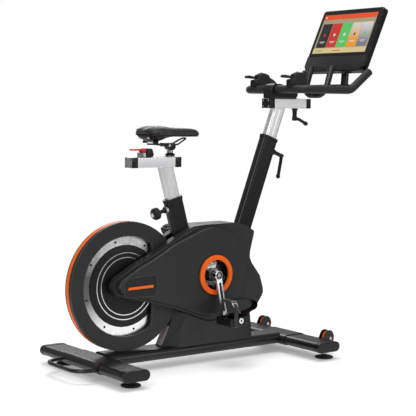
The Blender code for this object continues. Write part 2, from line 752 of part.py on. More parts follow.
def pedal(name, side):
    at = pedal_place(side)
    low, high = 0.130, 0.2225
    side_view = rounded(PEDAL_SIDE, [0.006, 0.010, 0.004, 0.004, 0.005], 2)
    outline = [(at.x + u, at.z - side * v) for u, v in side_view[::-side]]
    start = side * (low if side < 0 else high)
    body = prism(name, black_plastic(name), outline, (0, start, 0), X, Z, high - low, 0.0015, (), at)
    bearing = [(0, side * 0.2280), (0.0125, side * 0.2280), (0.0135, side * 0.2268), (0.0135, side * 0.2215), (0, side * 0.2215)]
    join(body, turned(f"{name}_bearing", None, bearing, at, Y, 24))
    for x in (-0.029, 0.029):
        for near in (0.1385, 0.1795):
            window = ordered((at.x + x - 0.0125, side * near, at.z - 0.03), (at.x + x + 0.0125, side * (near + 0.034), at.z + 0.03))
            cut(body, box(f"{name}_window", None, *window))
    cut(body, pin(f"{name}_bore", None, at + side * 0.10 * Y, at + side * 0.2225 * Y, 0.0074, 20))
    return hang(body, side)


def toe_cage(name, side):
    """Toe clip bolted to the front of the pedal, and the strap that closes over the shoe."""
    at = pedal_place(side)
    middle = side * 0.1765
    inner = [(0.0495, 0.0105), (0.0640, 0.0275), (0.0945, 0.0330), (0.1045, 0.0400), (0.1078, 0.0500)]
    inner += [(0.1032, 0.0597), (0.0925, 0.0680), (0.0670, 0.0747), (0.0300, 0.0772), (-0.0200, 0.0772)]
    outer = [(0.0495, 0.0060), (0.0660, 0.0240), (0.0960, 0.0295), (0.1080, 0.0380), (0.1115, 0.0500)]
    outer += [(0.1060, 0.0620), (0.0940, 0.0713), (0.0680, 0.0780), (0.0300, 0.0805), (-0.0200, 0.0805)]
    up = -side  # the free pedal on the left hangs upside down
    line = [(at.x + u, at.z + up * v) for u, v in outer + inner[::-1]]
    clip = prism(name, black_plastic(name), line, (0, middle + 0.023, 0), X, Z, 0.046, 0, (), at)
    low, high = at.z - up * 0.0035, at.z + up * 0.0160
    foot = ordered((at.x + 0.0485, middle - 0.040, low), (at.x + 0.0525, middle + 0.040, high))
    join(clip, box(f"{name}_foot", None, *foot))
    wide = 0.0495
    ring = rounded([(-wide, -0.0265), (wide, -0.0265), (wide, 0.050), (0.026, 0.0790), (-0.026, 0.0790), (-wide, 0.050)],
                   [0.004, 0.004, 0.018, 0.018, 0.018, 0.018], 3)
    strap = [(u + middle, up * v + at.z) for u, v in ring[::up]]
    hollow = inset(strap, 0.0025)
    start = (at.x - 0.0320, 0, 0)
    band = prism(f"{name}_strap", None, strap, start, Y, Z, 0.018, 0, [hollow])
    join(clip, band)
    return hang(clip, side)


# Saddle


def rail_body(name, span, z, slot_low=False):
    """Aluminium extrusion with closed ends and a T-slot along its top."""
    width, height = RAIL
    outline = round_rect(width, height, 0.003, 0, z, 2)
    rail = prism(name, aluminium(name), outline, (span[0], 0, 0), Y, Z, span[1] - span[0], 0)
    wall = 0.003
    inner = round_rect(width - 2 * wall, height - 2 * wall, 0.001, 0, z, 1)
    cut(rail, prism(f"{name}_hollow", None, inner, (span[0] + wall, 0, 0), Y, Z, span[1] - span[0] - 2 * wall, 0))
    low = (span[0] + wall, -0.0068, z)
    high = (span[1] - wall, 0.0068, z + height)
    cut(rail, box(f"{name}_slot", None, low, high))
    if slot_low:
        cut(rail, box(f"{name}_low_slot", None, (0.936, -0.0058, z - height), (span[1] - 0.006, 0.0058, z)))
    return rail


def post(name, top, tilt, low, high, holes=0):
    groove = 0.0010
    half_x, half_y = POST[0] / 2, POST[1] / 2
    corner = 0.008
    outline = []
    for side in (-1, 1):
        edge = [(-0.0165, 0), (-0.0150, 1), (-0.0135, 1), (-0.0120, 0), (-0.0015, 0), (-0.0005, 1), (0.0005, 1), (0.0015, 0),
                (0.0120, 0), (0.0135, 1), (0.0150, 1), (0.0165, 0)]
        outline += [(-side * u, side * (half_y - groove * deep)) for u, deep in edge]
        turn = [(half_x - corner + corner * math.sin(math.radians(a)), half_y - corner + corner * math.cos(math.radians(a)))
                for a in (0, 30, 60, 90)]
        outline += [(-side * u, side * v) for u, v in turn]
        outline += [(-side * u, -side * v) for u, v in turn[::-1]]
    tube = leaning(name, aluminium(name), outline, top, tilt, low, high, [round_rect(0.052, 0.026, 0.005)])
    forward, upward = tube_frame(tilt)
    for i in range(holes):
        at = top + upward * (-PIN_DOWN - 0.03 * i)
        cut(tube, pin(f"{name}_hole", None, at - forward * 0.04, at - forward * 0.02, 0.0056, 12))
    return tube


def saddle_stem():
    """Carriage in the seat rail: T-bar, clamp block for the lever, and the round stem under the saddle."""
    name = "saddle_stem"
    top = SEAT_RAIL_Z + RAIL[1] / 2
    bar = box(name, steel(name), (0.200, -0.0195, top - 0.0165), (0.366, 0.0195, top - 0.0034))
    join(bar, box("stem_neck", None, (0.200, -0.0060, top - 0.006), (0.366, 0.0060, top + 0.002)))
    profile = [(0, 0.0005), (0.019, 0.0005), (0.019, 0.004), (0.014, 0.006), (0.012, 0.010)]
    profile += [(0.012, TILT_PIVOT.z - 0.0155 - top), (0, TILT_PIVOT.z - 0.0155 - top)]
    join(bar, turned("stem_post", None, profile, (TILT_PIVOT.x, 0, top), Z, 24))
    low = top + 0.0005
    block = [(0.211, low), (0.253, low), (0.260, low + 0.010), (0.252, 0.859), (0.2305, 0.859), (0.2295, 0.844), (0.211, 0.844)]
    join(bar, prism("stem_block", None, block, (0, 0.022, 0), X, Z, 0.044, 0.001))
    return bar


def seat_lever():
    name = "seat_lever"
    axis = Vector((0.2215, 0, 0.8516))
    barrel = pin(name, look(name, (0.80, 0.035, 0.03), 0.4), axis - 0.018 * Y, axis + 0.018 * Y, 0.0070, 20, 0.001, axis)
    outline = rounded([(0.1640, -0.013), (0.2220, -0.011), (0.2220, 0.011), (0.1640, 0.013)], [0.010, 0, 0, 0.010], 4)
    join(barrel, prism("lever_plate", None, outline, (0, 0, axis.z + 0.0004), X, Y, 0.0062, 0.001))
    return barrel


def saddle_clamp():
    name = "saddle_clamp"
    p = TILT_PIVOT
    clamp = pin(name, black_paint(name), p - 0.019 * Y, p + 0.019 * Y, 0.0152, 20, 0.001, p)
    join(clamp, box("clamp_body", None, (0.320, -0.027, p.z - 0.001), (0.356, 0.027, p.z + 0.0135), 0.002))
    join(clamp, pin("clamp_bolt", None, (0.328, -0.030, p.z + 0.0045), (0.328, 0.030, p.z + 0.0045), 0.0048, 12))
    for side in (-1, 1):
        a = (0.312, side * 0.022, p.z + 0.0073)
        b = (0.372, side * 0.022, p.z + 0.0073)
        cut(clamp, pin("rail_channel", None, a, b, 0.0041, 12))
    return clamp


def saddle_rails():
    name = "saddle_rails"
    z = TILT_PIVOT.z + 0.0073
    half = [(0.266, 0.034, 0.8752), (0.302, 0.022, z), (0.372, 0.022, z), (0.420, 0.014, 0.8985)]
    other = [(x, -y, zz) for x, y, zz in half[::-1]]
    line = bend(half + other, 0.012, 3)
    return rod(name, steel(name), line, 0.0035, TILT_PIVOT, 2)


def saddle():
    """Closed body of the padded saddle: domed top over a bowl-shaped base."""
    name = "saddle"
    stations = [
        (0.2185, 0.030, 0.930, 0.9150, 0.9110), (0.2225, 0.050, 0.936, 0.9130, 0.9040),
        (0.2325, 0.067, 0.942, 0.9110, 0.8930), (0.2465, 0.076, 0.9455, 0.9100, 0.8840),
        (0.2625, 0.0775, 0.947, 0.9090, 0.8800), (0.2785, 0.0735, 0.9475, 0.9080, 0.8815),
        (0.2945, 0.0655, 0.9465, 0.9075, 0.8880), (0.3105, 0.0555, 0.945, 0.9070, 0.8955),
        (0.3285, 0.0455, 0.943, 0.9065, 0.9015), (0.3505, 0.0370, 0.941, 0.9060, 0.9045),
        (0.3805, 0.0300, 0.9395, 0.9050, 0.9045), (0.4155, 0.0260, 0.939, 0.9045, 0.9040),
        (0.4455, 0.0235, 0.9375, 0.9045, 0.9040), (0.4685, 0.0205, 0.934, 0.9050, 0.9045),
        (0.4815, 0.0155, 0.927, 0.9065, 0.9060), (0.4885, 0.0085, 0.919, 0.9090, 0.9085),
    ]
    sections = []
    for x, half, top, skirt, under in stations:
        ring = []
        for i in range(13):
            angle = math.pi * i / 12
            u = math.copysign(abs(math.cos(angle)) ** 0.62, math.cos(angle)) * half
            v = skirt + 0.004 + (top - skirt - 0.004) * math.sin(angle) ** 0.75
            ring.append((x, u, v))
        for share in (-0.975, -0.72, -0.40, 0.40, 0.72, 0.975):
            depth = max(0.0, 1.0 - (abs(share) / 0.975) ** 2) / 0.832
            ring.append((x, half * share, skirt + (under - skirt) * min(1.0, depth)))
        sections.append(ring)
    return loft(name, look(name, (0.012, 0.012, 0.013), 0.6), sections, TILT_PIVOT)


# Handlebar


def handlebar_mount():
    """Carriage in the upper rail and the block that clamps the handlebar."""
    name = "handlebar_mount"
    top = BAR_RAIL_Z + RAIL[1] / 2
    low = top + 0.0005
    corners = [(0.840, low), (0.975, low), (0.985, low + 0.012), (0.985, 1.092), (0.930, 1.108), (0.893, 1.1205), (0.850, 1.1205), (0.840, 1.098)]
    outline = rounded(corners, [0.004, 0.006, 0.006, 0.006, 0.02, 0.02, 0.02, 0.01], 3)
    block = prism(name, black_paint(name), outline, (0, 0.028, 0), X, Z, 0.056, 0.003)
    cut(block, pin("bar_bore", None, BAR - 0.05 * Y, BAR + 0.05 * Y, BAR_R + 0.0005, 24))
    join(block, box("mount_neck", None, (0.862, -0.0060, top - 0.006), (1.0005, 0.0060, top + 0.002)))
    join(block, box("mount_bar", None, (0.862, -0.0195, top - 0.0165), (1.0005, 0.0195, top - 0.0034)))
    cut(block, pin("mount_pin_hole", None, (0.991, 0, 1.0), (0.991, 0, top - 0.008), 0.0055, 16))
    return block


def handlebar():
    name = "handlebar"
    z = BAR.z
    half = [(1.226, 0.200, 1.176), (1.122, 0.200, z), (BAR.x, 0.190, z)]
    line = bend(half + [(x, -y, zz) for x, y, zz in half[::-1]], 0.055, 5)
    return rod(name, black_paint(name), line, BAR_R, sides=4)


def aero_hoop():
    """Upright inner loop, seated under the console arm."""
    name = "aero_hoop"
    lean = math.tan(math.radians(17.5))
    base = Vector((1.100, 0, 1.0765))
    corners = [base + Vector((h * lean, y, h)) for y, h in ((0.065, 0.122), (0.065, 0), (-0.065, 0), (-0.065, 0.122))]
    return rod(name, black_paint(name), bend(corners, 0.045, 5), 0.0135, sides=3)


def console_arm():
    name = "console_arm"
    low = BAR.z - 0.007
    outline = rounded([(0.9856, low + 0.003), (1.262, low + 0.003), (1.298, 1.118), (1.298, 1.126), (1.262, 1.126), (0.9856, 1.1165)],
                      [0.002, 0.012, 0.006, 0.004, 0.004, 0.004], 2)
    arm = prism(name, black_paint(name), outline, (0, 0.018, 0), X, Z, 0.036, 0.003)
    p = CONSOLE_PIVOT
    join(arm, pin("arm_post", None, (1.2725, 0, 1.118), p - 0.010 * Z, 0.0165, 20))
    join(arm, pin("arm_eye", None, p - 0.017 * Y, p + 0.017 * Y, 0.0150, 20, 0.001))
    join(arm, pin("arm_bolt", None, p - 0.027 * Y, p + 0.027 * Y, 0.0045, 10))
    return arm


def console_axes():
    upward = Vector((math.sin(CONSOLE_TILT), 0, math.cos(CONSOLE_TILT)))
    return upward, Y.cross(upward)


def console_housing():
    """Display housing; `facing` points away from the rider."""
    name = "console_housing"
    upward, away = console_axes()
    outline = rounded([(-0.1885, -0.180), (0.1885, -0.180), (0.1885, 0.120), (-0.1885, 0.120)], [0.034, 0.034, 0.014, 0.014], 4)
    body = prism(name, charcoal_shell(name), outline, CONSOLE + away * 0.0006, Y, upward, 0.0344, 0.005, (), CONSOLE_PIVOT)
    tray = round_rect(0.3652, 0.2162, 0.006, 0, 0.0020, 2)
    cut(body, prism("screen_tray", None, tray, CONSOLE - away * 0.01, Y, upward, 0.0148, 0))
    rear = round_rect(0.200, 0.150, 0.020, 0, -0.035, 3)
    join(body, prism("console_back", None, rear, CONSOLE + away * 0.030, Y, upward, 0.0120, 0.004))
    for side in (-1, 1):
        at = CONSOLE_PIVOT + side * 0.0215 * Y
        ear = pin("console_ear", None, at - 0.0035 * Y, at + 0.0035 * Y, 0.0140, 24)
        join(body, ear)
        foot = CONSOLE - upward * 0.1008 + away * 0.0335 + side * 0.0215 * Y
        web = [(-0.0035, -0.012), (0.0035, -0.012), (0.0035, 0.012), (-0.0035, 0.012)]
        join(body, prism("console_web", None, web, foot, Y, upward, 0.0255, 0))
    cut(body, pin("console_bolt_hole", None, CONSOLE_PIVOT - 0.04 * Y, CONSOLE_PIVOT + 0.04 * Y, 0.0048, 16))
    return body


def screen():
    name = "screen"
    upward, away = console_axes()
    outline = round_rect(0.3646, 0.2156, 0.006, 0, 0.0020, 2)
    return prism(name, look(name, (0.01, 0.01, 0.012), 0.1), outline, CONSOLE, Y, upward, 0.0044, 0, (), CONSOLE_PIVOT)


def bar_lever():
    """Screw lever under the upper rail; it locks the handlebar's fore and aft slide."""
    name = "bar_lever"
    pivot = Vector((0.991, 0, BAR_RAIL_Z - RAIL[1] / 2))
    low = pivot.z
    profile = [(0, 1.0505), (0.005, 1.0505), (0.005, low - GAP), (0.013, low - GAP), (0.013, low - 0.006), (0.010, low - 0.010)]
    profile += [(0.009, low - 0.032), (0.011, low - 0.036), (0.011, low - 0.051), (0, low - 0.053)]
    lever = turned(name, black_plastic(name), profile, (pivot.x, 0, 0), Z, 20, pivot)
    path = [(0.991, 0, low - 0.043), (1.014, 0, low - 0.046), (1.053, 0, low - 0.064)]
    join(lever, rod(f"{name}_handle", None, bend(path, 0.02, 2), 0.0070, sides=2))
    return lever


def control_pod(name, side):
    """Button pod that clamps on the crossbar, hooded at the front, open at the rear for its paddle."""
    y = side * POD_Y
    corners = [(0.853, 1.100), (0.942, 1.116), (0.945, 1.138), (0.936, 1.160), (0.905, 1.168), (0.876, 1.160), (0.872, 1.140), (0.853, 1.138)]
    outline = rounded(corners, [0.006, 0.008, 0.010, 0.014, 0.014, 0.008, 0.003, 0.005], 2)
    pod = prism(name, black_plastic(name), outline, (0, y + 0.016, 0), X, Z, 0.032, 0.003)
    cut(pod, pin(f"{name}_bore", None, BAR + (y - 0.05) * Y, BAR + (y + 0.05) * Y, BAR_R + 0.0005, 16))
    return pod


def control_paddle(name, side):
    """Sprung thumb paddle behind the pod, hinged on a cross pin in front of it."""
    y = side * POD_Y
    axis = Vector((0.8665, y, 1.1465))
    corners = [(0.820, 1.1440), (0.8665, 1.1420), (0.8705, 1.1465), (0.8665, 1.1510), (0.826, 1.1560), (0.820, 1.1530)]
    outline = rounded(corners, [0.003, 0, 0, 0, 0.003, 0.003], 2)
    return prism(name, black_plastic(name), outline, (0, y + 0.012, 0), X, Z, 0.024, 0.0012, (), axis)


def build():
    stabiliser("rear_stabiliser", 0, REAR_Z, REAR_FEET)
    stabiliser("front_stabiliser", FRONT_X, FRONT_Z, FRONT_FEET, True)
    for side, hand in ((-1, "right"), (1, "left")):
        end_cap(f"rear_cap_{hand}", 0, REAR_Z, side)
        end_cap(f"front_cap_{hand}", FRONT_X, FRONT_Z, side)
        levelling_foot(f"rear_foot_{hand}", REAR_FEET[0], side * REAR_FEET[1], REAR_Z - 0.006)
        levelling_foot(f"front_foot_{hand}", FRONT_FEET[0], side * FRONT_FEET[1], FRONT_Z - 0.006)
        transport_wheel(f"transport_wheel_{hand}", side)
        drive_cover(f"drive_cover_{hand}", side)
        wheel_guard(f"wheel_guard_{hand}", side)
        crank_arm(f"crank_arm_{hand}", side)
        pedal(f"pedal_{hand}", side)
        toe_cage(f"toe_cage_{hand}", side)
        control_pod(f"control_pod_{hand}", side)
        control_paddle(f"control_paddle_{hand}", side)
    main_beam()
    lift_handle()
    seat_tube()
    mast()
    bushing("seat_bushing", SEAT_TUBE_TOP, SEAT_TILT)
    bushing("mast_bushing", MAST_TOP, MAST_TILT)
    drive_bracket()
    pop_pin()
    mast_lever()
    base_cover()
    guard_rim()
    crank_ring()
    flywheel()
    flywheel_hub()
    flywheel_axle()
    drive_pulley()
    drive_belt()
    crank_axle()
    rail_body("seat_rail", SEAT_RAIL_X, SEAT_RAIL_Z)
    rail_body("handlebar_rail", BAR_RAIL_X, BAR_RAIL_Z, True)
    seat_post = post("seat_post", SEAT_TUBE_TOP, SEAT_TILT, -0.240, 0.160, 6)
    cut(seat_post, box("above_seat_post", None, (0, -0.1, SEAT_RAIL_Z - RAIL[1] / 2 - GAP), (0.6, 0.1, 1)))
    bar_post = post("handlebar_post", MAST_TOP, MAST_TILT, -0.230, 0.170)
    cut(bar_post, box("above_bar_post", None, (0.6, -0.1, BAR_RAIL_Z - RAIL[1] / 2 - GAP), (1.2, 0.1, 1.3)))
    saddle_stem()
    seat_lever()
    saddle_clamp()
    saddle_rails()
    saddle()
    handlebar_mount()
    handlebar()
    aero_hoop()
    console_arm()
    console_housing()
    screen()
    bar_lever()


build()
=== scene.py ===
"""The looks of the exercise bike: finishes for its CAD nodes, plus the pieces that only the eye needs."""

import json
import math

import bmesh
import bpy
from mathutils import Matrix, Vector

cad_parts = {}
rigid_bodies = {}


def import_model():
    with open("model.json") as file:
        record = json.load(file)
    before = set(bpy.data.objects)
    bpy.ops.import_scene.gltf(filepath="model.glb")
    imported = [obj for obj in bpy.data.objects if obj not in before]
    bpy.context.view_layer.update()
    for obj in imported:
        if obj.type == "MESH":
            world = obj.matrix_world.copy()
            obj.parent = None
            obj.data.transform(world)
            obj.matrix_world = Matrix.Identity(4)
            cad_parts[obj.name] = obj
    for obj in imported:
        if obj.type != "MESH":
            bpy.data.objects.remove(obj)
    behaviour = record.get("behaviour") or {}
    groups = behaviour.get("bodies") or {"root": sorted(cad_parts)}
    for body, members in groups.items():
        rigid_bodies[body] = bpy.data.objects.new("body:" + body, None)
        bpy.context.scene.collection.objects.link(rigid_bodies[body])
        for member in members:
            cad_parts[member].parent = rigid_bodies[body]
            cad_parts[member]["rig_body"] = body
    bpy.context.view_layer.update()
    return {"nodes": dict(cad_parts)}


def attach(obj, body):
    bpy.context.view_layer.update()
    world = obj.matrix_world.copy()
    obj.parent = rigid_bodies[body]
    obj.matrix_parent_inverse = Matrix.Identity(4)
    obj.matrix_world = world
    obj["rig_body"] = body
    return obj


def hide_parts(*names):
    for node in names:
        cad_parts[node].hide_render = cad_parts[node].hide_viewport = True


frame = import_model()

# The bike's own layout: x from the rear stabiliser, y to the rider's left, z up.
MIDDLE_X = 0.5994
SEAT_TUBE_TOP = Vector((0.367, 0, 0.6515))
SEAT_TILT = math.radians(15.75)
PIN_DOWN = 0.024
TUBE_HALF = 0.0385
MAST_TOP = Vector((0.848, 0, 0.8875))
MAST_TILT = math.radians(-20.5)
WHEEL = Vector((0.1417, 0, 0.332))
GUARD_R = 0.2505
CRANK = Vector((0.5245, 0, 0.3555))
CRANK_LENGTH = 0.165
CRANK_LEAN = math.radians(4.4)
FREE_PEDAL = math.radians(-25)
COVER_Y = 0.052
PANEL_Y = 0.075
SEAT_RAIL_X = (0.1606, 0.3856)
SEAT_RAIL_Z = 0.8057
BAR_RAIL_X = (0.8356, 1.0553)
BAR_RAIL_Z = 1.0395
TILT_PIVOT = Vector((0.351, 0, 0.867))
BAR = Vector((0.872, 0, 1.0975))
CONSOLE = Vector((1.269, 0, 1.346))
CONSOLE_TILT = math.radians(24.7)
POD_Y = 0.117
X = Vector((1, 0, 0))
Y = Vector((0, 1, 0))
Z = Vector((0, 0, 1))
NODES = frame["nodes"]
BODY_OF = {name: obj["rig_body"] for name, obj in NODES.items()}
SIDES = (("right", -1), ("left", 1))
SCREEN_UP = Vector((math.sin(CONSOLE_TILT), 0, math.cos(CONSOLE_TILT)))
SCREEN_BACK = Y.cross(SCREEN_UP)


# Shader nodes


class Look:
    """One procedural material: a Principled shader and the texture nodes that drive it."""

    def __init__(self, name):
        self.mat = bpy.data.materials.new(name)
        self.mat.use_nodes = True
        self.tree = self.mat.node_tree
        self.shader = self.tree.nodes["Principled BSDF"]
        self.place = self.node("ShaderNodeTexCoord").outputs["Object"]

    def node(self, kind, **values):
        made = self.tree.nodes.new(kind)
        for name, value in values.items():
            self.put(made.inputs[name.replace("_", " ")], value)
        return made

    def put(self, socket, value):
        if isinstance(value, bpy.types.NodeSocket):
            self.tree.links.new(value, socket)
        else:
            socket.default_value = value

    def set(self, name, value):
        self.put(self.shader.inputs[name], value)

    def maths(self, operation, one, two=0.0, third=0.0):
        made = self.tree.nodes.new("ShaderNodeMath")
        made.operation = operation
        for socket, value in zip(made.inputs, (one, two, third)):
            self.put(socket, value)
        return made.outputs[0]

    def stretched(self, scale):
        return self.node("ShaderNodeMapping", Vector=self.place, Scale=scale).outputs[0]

    def noise(self, scale, detail=3.0, vector=None):
        made = self.node("ShaderNodeTexNoise", Vector=vector or self.place, Scale=scale, Detail=detail)
        return made.outputs["Fac"]

    def cells(self, scale, vector=None, feature="F1"):
        made = self.tree.nodes.new("ShaderNodeTexVoronoi")
        made.feature = feature
        self.put(made.inputs["Vector"], vector or self.place)
        made.inputs["Scale"].default_value = scale
        return made.outputs["Distance"]

    def between(self, fac, low=0.0, high=1.0, start=0.3, end=0.7):
        made = self.tree.nodes.new("ShaderNodeMapRange")
        for socket, value in zip(made.inputs, (fac, start, end, low, high)):
            self.put(socket, value)
        return made.outputs[0]

    def blend(self, fac, one, two):
        made = self.tree.nodes.new("ShaderNodeMix")
        made.data_type = "RGBA"
        self.put(made.inputs["Factor"], fac)
        self.put(made.inputs[6], (*one, 1) if isinstance(one, tuple) else one)
        self.put(made.inputs[7], (*two, 1) if isinstance(two, tuple) else two)
        return made.outputs[2]

    def bumps(self, *layers):
        """Each layer is (height socket, distance in metres, strength)."""
        normal = None
        for height, distance, strength in layers:
            made = self.node("ShaderNodeBump", Height=height, Distance=distance, Strength=strength)
            if normal:
                self.put(made.inputs["Normal"], normal)
            normal = made.outputs[0]
        self.set("Normal", normal)

    def edge_highlight_and_wear(self, reach=0.0012):
        """How much of an edge shows here, from 0 on a face to 1 on a sharp edge: the mask for edges painted
        lighter, partly as wear and partly as painted highlight.
        """
        soft = self.node("ShaderNodeBevel", Radius=reach).outputs[0]
        hard = self.node("ShaderNodeNewGeometry").outputs["Normal"]
        dot = self.tree.nodes.new("ShaderNodeVectorMath")
        dot.operation = "DOT_PRODUCT"
        self.put(dot.inputs[0], soft)
        self.put(dot.inputs[1], hard)
        return self.between(dot.outputs["Value"], 1.0, 0.0, 0.8, 0.985)

    def axes(self):
        return self.node("ShaderNodeSeparateXYZ", Vector=self.place).outputs

    def radius(self, centre):
        """Distance from an axis along Y."""
        parts = self.axes()
        u = self.maths("SUBTRACT", parts[0], centre.x - MIDDLE_X)
        v = self.maths("SUBTRACT", parts[2], centre.z)
        squares = [self.maths("MULTIPLY", each, each) for each in (u, v)]
        return self.maths("SQRT", self.maths("ADD", *squares))


def tint(colour, factor):
    return tuple(min(1.0, c * factor) for c in colour)


def powder_paint(name, colour=(0.0058, 0.0058, 0.0062), rough=0.3, edge=3.0):
    """Powder coat: orange-peel skin, faint dust in the colour and thin edges painted lighter, partly as wear
    and partly as painted highlight.
    """
    look = Look(name)
    cloud = look.noise(7.0, 4.0)
    base = look.blend(look.between(cloud), colour, tint(colour, 1.35))
    # Edges painted lighter by the edge factor: partly wear, partly painted highlight.
    look.set("Base Color", look.blend(look.edge_highlight_and_wear(), base, tint(colour, edge)))
    look.set("Roughness", look.between(look.noise(60.0, 5.0), rough - 0.04, rough + 0.07))
    look.bumps((look.noise(420.0, 2.0), 0.0003, 0.16), (look.noise(1800.0, 1.0), 0.0001, 0.2))
    look.set("Specular IOR Level", 0.3)
    look.set("Coat Weight", 0.14)
    look.set("Coat Roughness", 0.2)
    return look.mat


def moulded(name, colour, rough=0.5, grain=1400.0, depth=0.3, edge=1.9):
    """Injection-moulded plastic with spark-eroded grain, light scuffs and corners painted paler, partly as
    wear and partly as painted highlight.
    """
    look = Look(name)
    cloud = look.noise(5.0, 4.0)
    base = look.blend(look.between(cloud), tint(colour, 0.92), tint(colour, 1.12))
    # Corners painted paler by the edge factor: partly wear, partly painted highlight.
    look.set("Base Color", look.blend(look.edge_highlight_and_wear(0.001), base, tint(colour, edge)))
    scuff = look.noise(30.0, 6.0, look.stretched((1.0, 1.0, 4.0)))
    look.set("Roughness", look.between(scuff, rough - 0.06, rough + 0.08))
    look.bumps((look.cells(grain), 0.0002, depth), (look.noise(900.0, 2.0), 0.0001, 0.2))
    look.set("Specular IOR Level", 0.32)
    return look.mat


def glossy_plastic(name, colour, rough=0.28):
    """Smooth coloured plastic with flow marks and a thin clear skin."""
    look = Look(name)
    flow = look.noise(18.0, 3.0, look.stretched((1.0, 3.0, 1.0)))
    look.set("Base Color", look.blend(look.between(flow), tint(colour, 0.93), tint(colour, 1.04)))
    look.set("Roughness", look.between(look.noise(120.0, 4.0), rough - 0.04, rough + 0.06))
    look.bumps((look.noise(700.0, 2.0), 0.0001, 0.15))
    look.set("Specular IOR Level", 0.22)
    look.set("Coat Weight", 0.06)
    look.set("Coat Roughness", 0.15)
    return look.mat


def brushed(name, colour=(0.66, 0.67, 0.69), rough=0.3, lines=(4.0, 260.0, 260.0)):
    """Drawn or brushed metal: fine lines along one direction, with smears and small nicks."""
    look = Look(name)
    line = look.noise(5.0, 4.0, look.stretched(lines))
    smear = look.noise(9.0, 5.0)
    base = look.blend(look.between(line), tint(colour, 0.88), tint(colour, 1.08))
    look.set("Base Color", look.blend(look.between(smear, 0.0, 0.5), base, tint(colour, 0.92)))
    look.set("Metallic", 1.0)
    look.set("Roughness", look.between(line, rough - 0.06, rough + 0.1))
    look.bumps((line, 0.0002, 0.12), (look.noise(300.0, 4.0), 0.0001, 0.08))
    look.set("Anisotropic", 0.35)
    return look.mat


def machined(name, centre, colour=(0.8, 0.81, 0.83), rough=0.24, metallic=1.0, rings=900.0, painted_fan_shade=1.0):
    """A turned face: fine tool marks round an axis along Y, with a painted highlight fanned out above and
    below and painted shade at the sides.
    """
    look = Look(name)
    radius = look.radius(centre)
    mark = look.maths("SINE", look.maths("MULTIPLY", radius, rings * 2 * math.pi))
    wobble = look.noise(14.0, 4.0)
    base = look.blend(look.between(mark, 0.0, 1.0, -1.0, 1.0), tint(colour, 0.94), tint(colour, 1.03))
    base = look.blend(look.between(wobble, 0.0, 0.4), base, tint(colour, 0.92))
    # Painted light: the sides of the face are darkened by the shade factor, leaving a painted highlight
    # above and below the axis.
    if painted_fan_shade < 1.0:
        parts = look.axes()
        height = look.maths("SUBTRACT", parts[2], centre.z)
        share = look.maths("ABSOLUTE", look.maths("DIVIDE", height, radius))
        base = look.blend(look.between(share, 0.0, 1.0, 0.25, 0.92), tint(colour, painted_fan_shade), base)
    look.set("Base Color", base)
    look.set("Metallic", metallic)
    look.set("Roughness", look.between(look.noise(40.0, 3.0), rough - 0.04, rough + 0.08))
    look.bumps((mark, 0.0001, 0.06), (look.noise(500.0, 2.0), 0.0001, 0.05))
    look.set("Specular IOR Level", 0.3)
    return look.mat


def chrome(name, colour=(0.78, 0.78, 0.79), rough=0.12):
    look = Look(name)
    haze = look.noise(50.0, 5.0)
    look.set("Base Color", look.blend(look.between(haze), tint(colour, 0.92), tint(colour, 1.05)))
    look.set("Metallic", 1.0)
    look.set("Roughness", look.between(haze, rough - 0.04, rough + 0.1))
    look.bumps((look.noise(260.0, 3.0), 0.0001, 0.06))
    return look.mat


def soft_rubber(name, colour=(0.011, 0.011, 0.0115), rough=0.7, ribs=None):
    look = Look(name)
    dust = look.noise(22.0, 5.0)
    look.set("Base Color", look.blend(look.between(dust), colour, tint(colour, 1.8)))
    look.set("Roughness", look.between(dust, rough - 0.08, rough + 0.08))
    layers = [(look.noise(1100.0, 2.0), 0.0002, 0.4)]
    if ribs:
        parts = look.axes()
        wave = look.maths("SINE", look.maths("MULTIPLY", parts["XYZ".index(ribs)], 2 * math.pi / 0.004))
        layers.insert(0, (wave, 0.0004, 0.5))
    look.bumps(*layers)
    look.set("Sheen Weight", 0.08)
    look.set("Specular IOR Level", 0.35)
    return look.mat


def vinyl(name, colour=(0.006, 0.006, 0.0063)):
    """Saddle cover: leather-embossed vinyl with pebbles, creases and a soft shine."""
    look = Look(name)
    pebble = look.cells(620.0, None, "SMOOTH_F1")
    crease = look.cells(170.0, look.stretched((1.0, 1.4, 1.0)), "DISTANCE_TO_EDGE")
    cloud = look.noise(16.0, 4.0)
    look.set("Base Color", look.blend(look.between(cloud), colour, tint(colour, 1.7)))
    look.set("Roughness", look.between(look.noise(80.0, 4.0), 0.38, 0.56))
    look.bumps((look.between(crease, 0.0, 1.0, 0.0, 0.12), 0.0003, 0.22), (pebble, 0.0004, 0.35))
    look.set("Sheen Weight", 0.06)
    look.set("Coat Weight", 0.12)
    look.set("Coat Roughness", 0.35)
    return look.mat


def webbing(name, colour=(0.006, 0.006, 0.0062)):
    """Woven nylon strap."""
    look = Look(name)
    parts = look.axes()
    warp = look.maths("SINE", look.maths("MULTIPLY", parts[0], 2 * math.pi / 0.0014))
    weft = look.maths("SINE", look.maths("MULTIPLY", look.maths("ADD", parts[1], parts[2]), 4200.0))
    weave = look.maths("MULTIPLY", warp, weft)
    share = look.between(weave, 0.0, 1.0, -1.0, 1.0)
    look.set("Base Color", look.blend(share, tint(colour, 0.7), tint(colour, 2.2)))
    look.set("Roughness", look.between(look.noise(200.0, 3.0), 0.65, 0.85))
    look.bumps((weave, 0.0004, 0.5))
    look.set("Sheen Weight", 0.3)
    return look.mat


